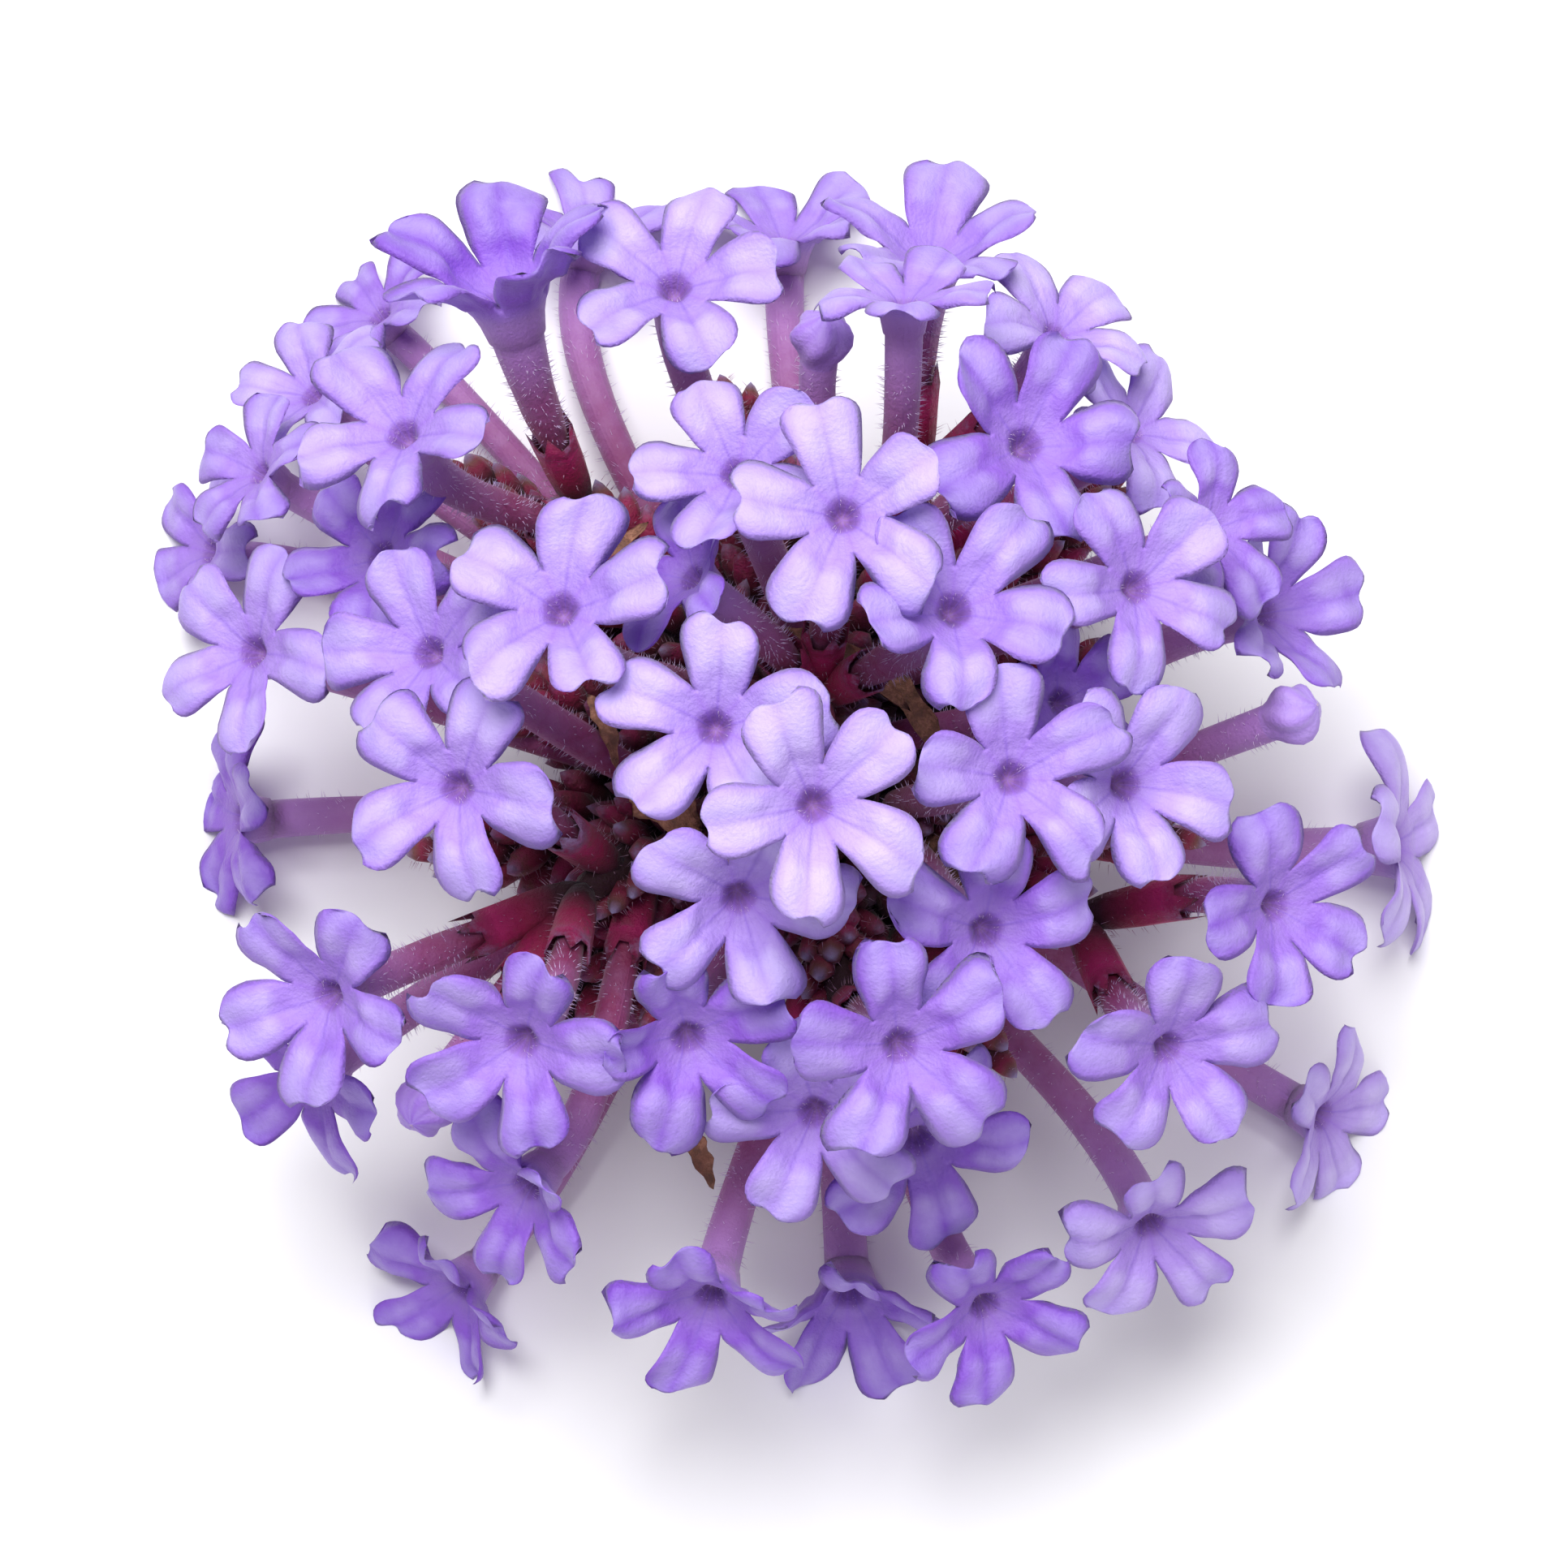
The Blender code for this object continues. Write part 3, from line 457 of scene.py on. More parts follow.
def corolla(number):
    """One corolla as a single closed skin, in rows from the bottom of the throat out over the limb,
    round its edge, back under it, and down the tube to its root. Each row has five lobes of
    columns, and the skin is sewn where they meet. Past the hinge the limb rises as a cone does. The
    throat's radius swings as 1 + star * cos(5 turn). The tube's radius at the share u of its way up
    is radius + flare * u + swell * exp(-((u - 0.25) / 0.2)^2). Last, every height z over the
    surface becomes (z + sqrt(z^2 + softness)) / 2, which keeps the lobes above it."""
    across, up, sideways, upward, spin, size, cup, lift, letter, tone = FLORETS[number]
    gaze = gaze_of(sideways, upward)
    throat = settled(number, on_dome(across, up, lift), gaze, spin, size, cup)
    root, lean = calyx_of(letter, throat - AIM_DROP * gaze)
    along, aside_way = limb_frame(gaze, spin)
    draws = lobe_draws(number, cup)
    each = np.arange(LOBES) * LOBE_TURN
    lobe_turns = each[None, :, None]
    backward = np.cos(each) * (along @ UP) + np.sin(each) * (aside_way @ UP)
    draws[:, 2] += radians(BELLS.get(number, 0)) * smooth(-0.6, 0.2, backward)
    distance, turn, height, steep, q, aside = lobe_grid(draws, number)
    flat = np.ones((1, LOBES, ASIDE_STEPS + 1))
    spread = (aside * LOBE_TURN / 2) * flat
    common = radians(cup)

    def raised(r, h, slope):
        """A limb point carried up the slope past the hinge."""
        over = np.clip(r - LOBE_HINGE, 0, None)
        return (np.minimum(r, LOBE_HINGE) + over * np.cos(slope) - h * np.sin(slope) * (over > 0),
                h * np.where(over > 0, np.cos(slope), 1) + over * np.sin(slope))

    slope = common + (steep - common) * smooth(0.0, 0.35, q)
    to_tip = np.clip(q / LIMB_SHARES[-1], 0, 1)
    thickness = PETAL_THICKNESS * np.sqrt(1 - aside**6) * np.sqrt(1 - to_tip**8)
    front_r, front_h = raised(distance, height, slope)
    back_r, back_h = raised(distance, height - thickness, slope)
    inner_h = -0.09 + 0.15 * np.sin(pi / 2 * (MOUTH_ROWS - 0.5) / 0.5)
    mouth_r, mouth_h = raised(MOUTH_ROWS[:, None, None] * flat, inner_h[:, None, None] * flat,
                              common)
    star = 1 + THROAT_STAR * np.cos(LOBES * spread)
    rows_r = [THROAT_ROWS[:, :1, None] * star, mouth_r * (1 + (star - 1) * MOUTH_FADE), front_r,
              back_r[::-1], COLLAR_ROWS[:, :1, None] * flat]
    rows_h = [THROAT_ROWS[:, 1:, None] * flat, mouth_h, front_h, back_h[::-1],
              COLLAR_ROWS[:, 1:, None] * flat]
    n_throat, n_mouth, n_limb, n_collar = (len(THROAT_ROWS), len(MOUTH_ROWS), len(LIMB_SHARES),
                                           len(COLLAR_ROWS))
    rows_t = [spread * np.ones((n_throat + n_mouth, 1, 1)), turn, turn[::-1],
              spread * np.ones((n_collar, 1, 1))]
    r, h, t = np.concatenate(rows_r), np.concatenate(rows_h), np.concatenate(rows_t) + lobe_turns
    limb = throat + size * (r[..., None] * at_turns(t, along, aside_way) + h[..., None] * gaze)
    mouth = root + CALYX_LENGTH * lean
    shares = np.linspace(1, 0, TUBE_ROWS)
    end = throat - TUBE_START * size * gaze
    path, ways = bezier(mouth, lean, end, gaze, shares)
    path = np.concatenate([path, [mouth - depth * lean for depth in ROOT_DEPTHS]])
    ways = np.concatenate([ways, [lean] * len(ROOT_DEPTHS)])
    radii = TUBE_RADIUS + TUBE_FLARE * shares + TUBE_SWELL * np.exp(-((shares - 0.25) / 0.2)**2)
    radii = np.concatenate([radii * (1 + (size - 1) * shares), ROOT_RADII])
    first = unit(along - (ways @ along)[:, None] * ways)
    second = np.cross(ways, first)
    tube = path[:, None, None] + radii[:, None, None, None] * at_turns(
        spread + lobe_turns, first[:, None, None], second[:, None, None])
    points = np.concatenate([limb, tube])
    skin = np.zeros(points.shape[:3])
    skin[n_throat + n_mouth:n_throat + n_mouth + n_limb] = thickness * size
    over = points[..., 2] - skin
    points[..., 2] = skin + 0.5 * (over + np.sqrt(over * over + FLOOR_SOFTNESS))
    out = np.concatenate([np.linspace(-1, 0, n_throat), 0.2 * (MOUTH_ROWS - 0.5) / 0.5,
                          0.2 + 0.8 * LIMB_SHARES, (0.2 + 0.8 * LIMB_SHARES)[::-1],
                          np.linspace(0.16, 0.0, n_collar), np.zeros(len(path))])
    down = np.concatenate([np.zeros(n_throat + n_mouth + 2 * n_limb),
                           np.linspace(0.05, 0.2, n_collar), 0.2 + 0.8 * (1 - shares), np.ones(3)])
    under = np.concatenate([np.zeros(n_throat + n_mouth + n_limb), np.ones(n_limb + n_collar),
                            np.ones(len(path))])
    every = np.ones(points.shape[:3])
    marks = {"out": out[:, None, None] * every, "aside": np.abs(aside) * every,
             "tube": down[:, None, None] * every, "under": under[:, None, None] * every,
             "tone": tone * every}
    standing = {"path": path[:TUBE_ROWS], "ways": ways[:TUBE_ROWS], "radii": radii[:TUBE_ROWS],
                "first": first[:TUBE_ROWS], "second": second[:TUBE_ROWS], "root": root,
                "lean": lean, "throat": throat, "gaze": gaze, "along": along,
                "beside": aside_way, "size": size}
    return (*sewn(points, marks, closed=False), standing)


TUBE_BRISTLES = 300
TUBE_BRISTLE_LENGTHS = (0.14, 0.32)
BRISTLE_WIDTH = 0.013
THROAT_BRISTLES = 16
THROAT_BRISTLE_LENGTHS = (0.07, 0.15)
THROAT_BRISTLE_WIDTH = 0.008
BRISTLE_CLEARANCE = 0.02
BRISTLE_ASKEW = (0.31, 0.52, 0.79)
TUBE_BRISTLE_LEAN = (0.0, 0.6)
THROAT_BRISTLE_PLACES = (0.62, 0.95)
THROAT_BRISTLE_LEAN = (0.3, 1.2)
ROOTED = 0.96


def bristles(bases, ways, lengths, width):
    """Fine hairs as three-sided cones: points and faces, three base corners round each base, square
    to its way, and a tip at base + length * way."""
    side, other = square_to(ways, BRISTLE_ASKEW)
    turns = 2 * pi * np.arange(3) / 3
    corners = bases[:, None] + width * at_turns(turns, side[:, None], other[:, None])
    tips = bases + lengths[:, None] * ways
    points = np.concatenate([corners, tips[:, None]], axis=1).reshape(-1, 3)
    points[:, 2] = np.maximum(points[:, 2], BRISTLE_CLEARANCE)
    corner = 4 * np.arange(len(bases))[:, None]
    faces = np.concatenate([corner + [0, 1, 3], corner + [1, 2, 3], corner + [2, 0, 3]])
    return points, faces.tolist()


def along_rows(rows, places):
    """Each column of the rows, read at fractional row numbers."""
    return np.stack([np.interp(places, np.arange(len(rows)), column) for column in rows.T], axis=1)


def corolla_bristles(seed, stand):
    """Hairs that stand out from the tube, leaning a little toward the limb, and finer ones that
    lean inward from the rim of the throat."""
    draw = np.random.default_rng(seed)
    places = draw.uniform(1.0, len(stand["path"]) - 1.0, TUBE_BRISTLES)
    turns = draw.uniform(0, 2 * pi, TUBE_BRISTLES)
    path, ways, first, second = (along_rows(stand[key], places)
                                 for key in ("path", "ways", "first", "second"))
    radii = np.interp(places, np.arange(len(stand["radii"])), stand["radii"])
    out = unit(at_turns(turns, first, second))
    lean = unit(out + draw.uniform(*TUBE_BRISTLE_LEAN, (TUBE_BRISTLES, 1)) * ways)
    tube = bristles(path + ROOTED * radii[:, None] * out, lean,
                    draw.uniform(*TUBE_BRISTLE_LENGTHS, TUBE_BRISTLES), BRISTLE_WIDTH)
    turns = draw.uniform(0, 2 * pi, THROAT_BRISTLES)
    out = at_turns(turns, stand["along"], stand["beside"])
    share = draw.uniform(*THROAT_BRISTLE_PLACES, (THROAT_BRISTLES, 1))
    size = stand["size"]
    depth = np.interp(0.5 * share, THROAT_ROWS[:, 0], THROAT_ROWS[:, 1])
    bases = stand["throat"] + size * (0.5 * share * out + (depth - 0.02) * stand["gaze"])
    lean = unit(-out + draw.uniform(*THROAT_BRISTLE_LEAN, (THROAT_BRISTLES, 1)) * stand["gaze"])
    throat = bristles(bases, lean, draw.uniform(*THROAT_BRISTLE_LENGTHS, THROAT_BRISTLES),
                      THROAT_BRISTLE_WIDTH)
    return joined([tube, throat])


def joined(parts):
    """One list of points and one of faces from several."""
    points, faces, first = [], [], 0
    for more, their_faces in parts:
        points.append(more)
        faces += [[corner + first for corner in face] for face in their_faces]
        first += len(more)
    return np.concatenate(points), faces


def haired(points, faces, marks, seed, stand):
    """A corolla's skin joined with its hairs, and a mark that is 1 on the hairs."""
    hair_points, hair_faces = corolla_bristles(seed, stand)
    marks = {**marks, "hair": np.zeros(len(points))}
    marks = {mark: np.concatenate([values, np.full(len(hair_points), mark == "hair", float)])
             for mark, values in marks.items()}
    return (*joined([(points, faces), (hair_points, hair_faces)]), marks)


def nodes_of(name, roughness, sheen=0.0):
    """A new material with its shader's constants set, its node tree and its shader."""
    made = bpy.data.materials.new(name)
    made.use_nodes = True
    tree = made.node_tree
    shader = tree.nodes["Principled BSDF"]
    set_inputs(shader, {"Roughness": roughness, "Sheen Weight": sheen, "Sheen Roughness": 0.4})
    return made, tree, shader


def mark_node(tree, mark):
    """The value that the mesh's points hold under this mark."""
    node = tree.nodes.new("ShaderNodeAttribute")
    node.attribute_name = mark
    return node.outputs["Fac"]


def ramp(tree, value, stops):
    """A colour that runs through the stops, each a (position, colour)."""
    node = tree.nodes.new("ShaderNodeValToRGB")
    band = node.color_ramp
    while len(band.elements) < len(stops):
        band.elements.new(0.5)
    for element, (position, colour) in zip(band.elements, stops):
        element.position = position
        element.color = (*colour, 1.0)
    tree.links.new(value, node.inputs["Fac"])
    return node.outputs["Color"]


def blend(tree, share, first, second, way="MIX"):
    """Mixes two colours, each a socket or a constant, by a share that is a socket or a number."""
    node = tree.nodes.new("ShaderNodeMix")
    node.data_type = "RGBA"
    node.blend_type = way
    for socket, value in ((node.inputs["Factor"], share), (node.inputs[6], first),
                          (node.inputs[7], second)):
        if isinstance(value, bpy.types.NodeSocket):
            tree.links.new(value, socket)
        else:
            socket.default_value = value if np.isscalar(value) else (*value, 1.0)
    return node.outputs[2]


def sums(tree, operation, *values):
    """One step of arithmetic on sockets or numbers."""
    node = tree.nodes.new("ShaderNodeMath")
    node.operation = operation
    for socket, value in zip(node.inputs, values):
        if isinstance(value, bpy.types.NodeSocket):
            tree.links.new(value, socket)
        else:
            socket.default_value = value
    return node.outputs[0]


def range_of(tree, value, low, high, to_low=0.0, to_high=1.0):
    """The value's place between low and high, held there, as a number between the two results."""
    node = tree.nodes.new("ShaderNodeMapRange")
    set_inputs(node, {"From Min": low, "From Max": high, "To Min": to_low, "To Max": to_high})
    tree.links.new(value, node.inputs["Value"])
    return node.outputs["Result"]


def grain(tree, scale, detail=3.0, roughness=0.6):
    """Noise over the object's own coordinates, with this many features to the metre."""
    place = tree.nodes.new("ShaderNodeTexCoord")
    node = tree.nodes.new("ShaderNodeTexNoise")
    set_inputs(node, {"Scale": scale, "Detail": detail, "Roughness": roughness})
    tree.links.new(place.outputs["Object"], node.inputs["Vector"])
    return node.outputs["Fac"]


def bumped(tree, shader, height, strength, depth):
    """Lets the height, a socket, ripple the shader's surface by this depth in metres."""
    node = tree.nodes.new("ShaderNodeBump")
    set_inputs(node, {"Strength": strength, "Distance": depth})
    tree.links.new(height, node.inputs["Height"])
    tree.links.new(node.outputs["Normal"], shader.inputs["Normal"])


petal_paint, tree, shader = nodes_of("petal_lilac", 0.6, sheen=0.15)
out, aside = mark_node(tree, "out"), mark_node(tree, "aside")
tube, tone, under = mark_node(tree, "tube"), mark_node(tree, "tone"), mark_node(tree, "under")
patches = grain(tree, 520, 3.0)
pale = ramp(tree, range_of(tree, out, -1, 1), [
    (0.0, (0.27, 0.13, 0.33)), (0.20, (0.24, 0.11, 0.36)), (0.38, (0.28, 0.14, 0.48)),
    (0.50, (0.37, 0.23, 0.66)), (0.60, (0.48, 0.34, 0.79)), (0.76, (0.53, 0.395, 0.83)),
    (1.0, (0.46, 0.32, 0.82))])
violet = ramp(tree, range_of(tree, out, -1, 1), [
    (0.0, (0.22, 0.10, 0.29)), (0.20, (0.20, 0.09, 0.34)), (0.40, (0.25, 0.12, 0.45)),
    (0.52, (0.32, 0.18, 0.60)), (0.66, (0.26, 0.10, 0.61)), (1.0, (0.18, 0.055, 0.53))])
shade = sums(tree, "ADD", tone, range_of(tree, patches, 0.3, 0.7, -0.26, 0.26))
colour = blend(tree, range_of(tree, shade, 0.0, 1.0), pale, violet)
# Painted highlight: the middle of each half of a lobe, from a little way out toward the tip, is
# blended toward a pale blue-white, with a little speckle, as the light on its raised pillow.
pillow = sums(tree, "MULTIPLY", sums(tree, "SUBTRACT", 1.0, sums(tree, "POWER", sums(
    tree, "ABSOLUTE", sums(tree, "SUBTRACT", aside, 0.42)), 1.4)), range_of(tree, out, 0.1, 0.5))
speckle = range_of(tree, grain(tree, 1300, 3.0), 0.3, 0.7, -0.1, 0.1)
pillow = range_of(tree, sums(tree, "ADD", pillow, speckle), 0.62, 1.0, 0.0, 0.40)
colour = blend(tree, pillow, colour, blend(tree, 0.5, colour, (0.80, 0.78, 1.0)))
# The thin veins are the petal's own colour. The broad darkening along each lobe's mid crease is
# partly its mid-vein and partly painted shade in the groove. Both fade outward and are blended
# toward a deep violet.
wander = sums(tree, "ADD", aside, range_of(tree, grain(tree, 900, 2.0), 0.3, 0.7, -0.07, 0.07))
veins = sums(tree, "POWER", sums(tree, "ABSOLUTE", sums(tree, "COSINE", sums(
    tree, "MULTIPLY", wander, 9.5))), 14.0)
crease = range_of(tree, aside, 0.0, 0.16, 1.0, 0.0)
veins_and_crease_shade = sums(tree, "MAXIMUM", crease, sums(tree, "MULTIPLY", veins, 0.22))
along_fade = range_of(tree, out, 0.15, 0.8, 1.0, 0.12)
veins_and_crease_shade = sums(tree, "MULTIPLY", sums(tree, "MULTIPLY", veins_and_crease_shade, along_fade), 0.55)
colour = blend(tree, veins_and_crease_shade, colour, (0.24, 0.12, 0.60))
# Painted shade: the outer edges of each lobe, and the undersides of the limb, the collar and the
# tube, are blended toward a deeper violet.
edge_and_underside_shade = range_of(tree, aside, 0.62, 1.0, 0.0, 0.4)
edge_and_underside_shade = sums(tree, "MAXIMUM", edge_and_underside_shade, sums(tree, "MULTIPLY", under, 0.4))
colour = blend(tree, edge_and_underside_shade, colour, (0.30, 0.13, 0.65))
tube_colour = ramp(tree, tube, [
    (0.0, (0.42, 0.26, 0.74)), (0.20, (0.39, 0.19, 0.52)), (0.50, (0.32, 0.10, 0.28)),
    (0.80, (0.27, 0.03, 0.12)), (1.0, (0.20, 0.008, 0.05))])
down_patches = range_of(tree, grain(tree, 1500, 3.0), 0.35, 0.75, 0.0, 0.25)
tube_colour = blend(tree, down_patches, tube_colour, (0.50, 0.29, 0.57))
colour = blend(tree, range_of(tree, tube, 0.0, 0.12), colour, tube_colour)
colour = blend(tree, mark_node(tree, "hair"), colour, (0.66, 0.50, 0.74))
tree.links.new(colour, shader.inputs["Base Color"])
skin = sums(tree, "ADD", grain(tree, 9000, 2.0), sums(tree, "MULTIPLY", veins_and_crease_shade, -0.5))
skin = sums(tree, "ADD", skin, sums(tree, "MULTIPLY", grain(tree, 1500, 3.0, 0.7), 1.2))
bumped(tree, shader, skin, 0.4, 0.00009)

standings = []
for number in FLORETS:
    points, faces, marks, stand = corolla(number)
    points, faces, marks = haired(points, faces, marks, 300 + int(number), stand)
    piece("corolla_" + number, points, faces, petal_paint, marks, ["floret_" + number])
    standings.append(stand)

# The corollas that are shut or closing.
# Each is the same hairy tube, with its lobes still folded over one another in a blunt knob. They
# stand in calyces as the open ones do.

# By the number of each solid: where the tip of the knob is seen, which way it looks, its spike and
# how violet it is, as for the florets.
BUDS = {
    "1": (14.5, 2.3, 0.75, 0.3, "D", 0.35),
    "2": (-10.7, -9.4, -0.4, -0.6, "B", 0.85),
    "4": (0.8, 13.2, 0.1, 0.75, "E", 0.6),
}
BUD_FACING = UP + 0.3 * RIGHT
KNOB_NECK = 1.55
KNOB_ROWS = np.array([[1.5, 0.50], [1.3, 0.56], [1.1, 0.66], [0.9, 0.74], [0.7, 0.78], [0.5, 0.74],
                      [0.32, 0.62], [0.18, 0.44], [0.08, 0.24], [0.02, 0.10], [0.0, 0.0]])
KNOB_FOLDS = 0.13
KNOB_TWIST = 1.3
BUD_STEPS = 30
BUD_RADIUS, BUD_FLARE = 0.40, 0.10
HAIRLESS = 0.02


def shut_corolla(number):
    """Rows round the tube and the knob. The knob's radius is its row's times 1 + fold *
    sqrt(sin(pi k)) * sin(5 (turn - twist * k)) at the share k of the way to its tip. The throat is
    shut, so the hairs that would stand in it are drawn in almost to a point."""
    across, up, sideways, upward, letter, tone = BUDS[number]
    gaze = gaze_of(sideways, upward)
    tip = on_dome(across, up, 0.0)
    root, lean = calyx_of(letter, tip - AIM_DROP * gaze)
    mouth = root + CALYX_LENGTH * lean
    shares = np.linspace(0, 1, TUBE_ROWS)
    path, ways = bezier(mouth, lean, tip - KNOB_NECK * gaze, gaze, shares)
    path = np.concatenate([[mouth - 1.0 * lean] * 2, path, tip - KNOB_ROWS[:, :1] * gaze])
    ways = np.concatenate([[lean] * 2, ways, [gaze] * len(KNOB_ROWS)])
    radii = np.concatenate([[0.0, 0.36], BUD_RADIUS + BUD_FLARE * shares, KNOB_ROWS[:, 1]])
    knob = np.concatenate([np.zeros(2 + TUBE_ROWS), np.linspace(0, 1, len(KNOB_ROWS))])
    first = unit(BUD_FACING - (ways @ BUD_FACING)[:, None] * ways)
    second = np.cross(ways, first)
    turns = np.linspace(0, 2 * pi, BUD_STEPS + 1)[None, :]
    folds = np.sin(LOBES * (turns - KNOB_TWIST * knob[:, None]))
    reach = radii[:, None] * (1 + KNOB_FOLDS * np.sin(pi * knob[:, None])**0.5 * folds)
    points = path[:, None] + reach[..., None] * at_turns(turns, first[:, None], second[:, None])
    every = np.ones(points.shape[:2])
    down = np.concatenate([np.ones(2), 1 - 0.8 * shares, np.linspace(0.12, 0.0, len(KNOB_ROWS))])
    # The aside mark follows the folds, so the petal paint's painted crease shade darkens the
    # furrows between the folded lobes and its painted edge shade the ridges; under gives the whole
    # knob a share of the painted underside shade.
    marks = {"out": (0.3 + 0.5 * knob)[:, None] * every, "aside": 0.06 + 0.9 * (folds + 1) / 2,
             "tube": down[:, None] * every, "under": 0.6 * every, "tone": tone * every}
    rows = slice(2, 2 + TUBE_ROWS)
    stand = {"path": path[rows], "ways": ways[rows], "radii": radii[rows], "first": first[rows],
             "second": second[rows], "root": root, "lean": lean, "throat": tip, "gaze": gaze,
             "along": first[-1], "beside": second[-1], "size": HAIRLESS}
    return (*sewn(points, marks, closed=False), stand)


for number in BUDS:
    points, faces, marks, stand = shut_corolla(number)
    points, faces, marks = haired(points, faces, marks, 400 + int(number), stand)
    piece("shut_corolla_" + number, points, faces, petal_paint, marks, ["bud_" + number])
    standings.append(stand)

# The spikes and their calyces.
# Six spikes rise from the fork of the stem, each crowded with ribbed, hairy, five-toothed calyces
# that overlap like scales, crimson below and olive toward the tip, painted near black as shade at
# their feet and deep in the head. All of it is one grown piece.
HUB_ROWS = ((-0.6, 1.4), (0.2, 2.2), (1.2, 2.7), (2.2, 2.4), (3.2, 1.6), (3.7, 0.0))
SPIKE_ROWS = ((0.0, 1.0), (0.25, 0.95), (0.5, 0.85), (0.75, 0.7), (0.93, 0.45), (1.0, 0.0))
CALYX_ROWS = np.array([[0.0, 0.0], [0.0, 0.26], [0.10, 0.40], [0.30, 0.52], [0.55, 0.58],
                       [0.78, 0.60], [0.92, 0.62], [1.0, 0.64], [0.99, 0.57], [0.85, 0.52],
                       [0.66, 0.46], [0.66, 0.0]])
TOOTH_ROWS = (7,)
TOOTH_RISE = 0.22
CALYX_SIDES, CALYX_RIB = 15, 0.07
CALYX_ROOM = 0.62
CALYX_GIRTH = 0.66
CALYX_HAIRS = 60
YOUNG_ROWS = np.array([[0.0, 0.0], [0.0, 0.5], [0.18, 0.85], [0.45, 1.0], [0.72, 0.82],
                       [0.90, 0.42], [1.0, 0.0]])
YOUNG_SIDES, YOUNG_RIB = 10, 0.14
YOUNG_COUNT = 58
YOUNG_TRIES = 12
YOUNG_GAP = 0.16
YOUNG_ROOM = 0.30
YOUNG_CLEARANCE = 1.5
YOUNG_HAIRS = 30
SPIKE_SIDES, SPIKE_RIB = 12, 0.10
HUB_SIDES, HUB_RIB = 18, 0.08
CALYX_HAIR_LENGTHS = (0.14, 0.34)
CALYX_HAIR_WIDTH = 0.011
CALYX_ASKEW = (0.37, 0.61, 0.29)
# The young calyces' length, girth and lean (degrees) at a spike's foot, how much less each is at
# its tip, and how far it is left to chance.
YOUNG_LENGTH = (2.9, 1.7, 0.2)
YOUNG_GIRTH = (0.56, 0.22, 0.05)
YOUNG_LEAN = (64, 52)
# The share of the spike where the first is rooted and how much further the last is, and how far
# from its axis, and by what share less at the tip.
YOUNG_SPAN = (0.18, 0.80)
YOUNG_OUT = (0.5, 0.6)
YOUNG_SPOTS = np.array([0.45, 0.75, 1.0])[:, None]
# Shorter side shoots that fill the gaps between the spikes, placed as the spikes are.
SIDE_SHOOTS = (
    (-8.6, 2.6, 7.6), (-3.6, -7.4, 7.4), (5.2, -7.4, 7.4), (8.4, 3.4, 7.6),
    (-1.6, 10.6, 7.2), (-3.2, 2.6, 8.8), (4.0, -0.8, 8.6), (-10.0, -2.0, 6.4),
    (-9.0, 8.6, 6.4), (8.6, 8.2, 6.6), (10.4, -1.2, 6.4), (-7.6, -7.6, 6.4),
)
GOLDEN_TURN = radians(137.508)
# The shares of the dome's reach within which the calyces are darkened with painted shade, deepest
# at the middle of the head.
SHADE_WITHIN = (0.26, 0.62)


def turned_body(rows, sides, root, way, length, girth, twist, rib, teeth=()):
    """A ribbed body of revolution about way: rows are (share of length, radius times girth). Every
    other column is drawn in, to radius * (1 - rib), and at the rows in teeth every third column is
    raised by the tooth's share of the length."""
    first, second = square_to(way, CALYX_ASKEW)
    turns = twist + 2 * pi * np.arange(sides) / sides
    shares, radii = np.array(rows).T
    reach = girth * radii[:, None] * (1 - rib * (np.arange(sides) % 2))[None, :]
    heights = length * shares[:, None] * np.ones((1, sides))
    for row in teeth:
        heights[row] += TOOTH_RISE * length * (np.arange(sides) % 3 == 0)
    out = at_turns(turns, first, second)
    points = root + (reach[..., None] * out + heights[..., None] * way)
    return sewn(points, {"along": np.repeat(shares, sides)}, closed=True)


draw = np.random.default_rng(77)
parts = []
taken = [np.concatenate([stand["path"] for stand in standings])]
room = [np.concatenate([stand["radii"] for stand in standings])]
hair_bases, hair_ways = [], []


def calyx_hairs(root, way, length, girth, count):
    """Places and directions of hairs that stand out from a calyx all round."""
    turns, share = draw.uniform(0, 2 * pi, count), draw.uniform(0.1, 0.95, count)
    out = at_turns(turns, *square_to(way, CALYX_ASKEW))
    hair_bases.append(root + length * share[:, None] * way
                      + 0.9 * girth * np.sin(pi * (0.15 + 0.7 * share))[:, None] * out)
    hair_ways.append(unit(out + 0.5 * way))


hub_up = np.array([0.0, 0.0, 1.0])
points, faces, _ = turned_body(HUB_ROWS, HUB_SIDES, FORK, hub_up, 1.0, 1.0, 0.0, HUB_RIB)
parts.append((points, faces, {"along": 0.3, "ripe": 0.2, "hair": 0.0}))
for stand in standings:
    turn = draw.uniform(0, 2 * pi)
    points, faces, marks = turned_body(CALYX_ROWS, CALYX_SIDES, stand["root"], stand["lean"],
                                       CALYX_LENGTH, 1.0, turn, CALYX_RIB, TOOTH_ROWS)
    parts.append((points, faces, {**marks, "ripe": draw.uniform(0.0, 0.35), "hair": 0.0}))
    steps = np.linspace(0.1, 1.0, 6)[:, None] * CALYX_LENGTH
    taken.append(stand["root"] + steps * stand["lean"])
    room.append(np.full(len(steps), CALYX_ROOM))
    calyx_hairs(stand["root"], stand["lean"], CALYX_LENGTH, CALYX_GIRTH, CALYX_HAIRS)
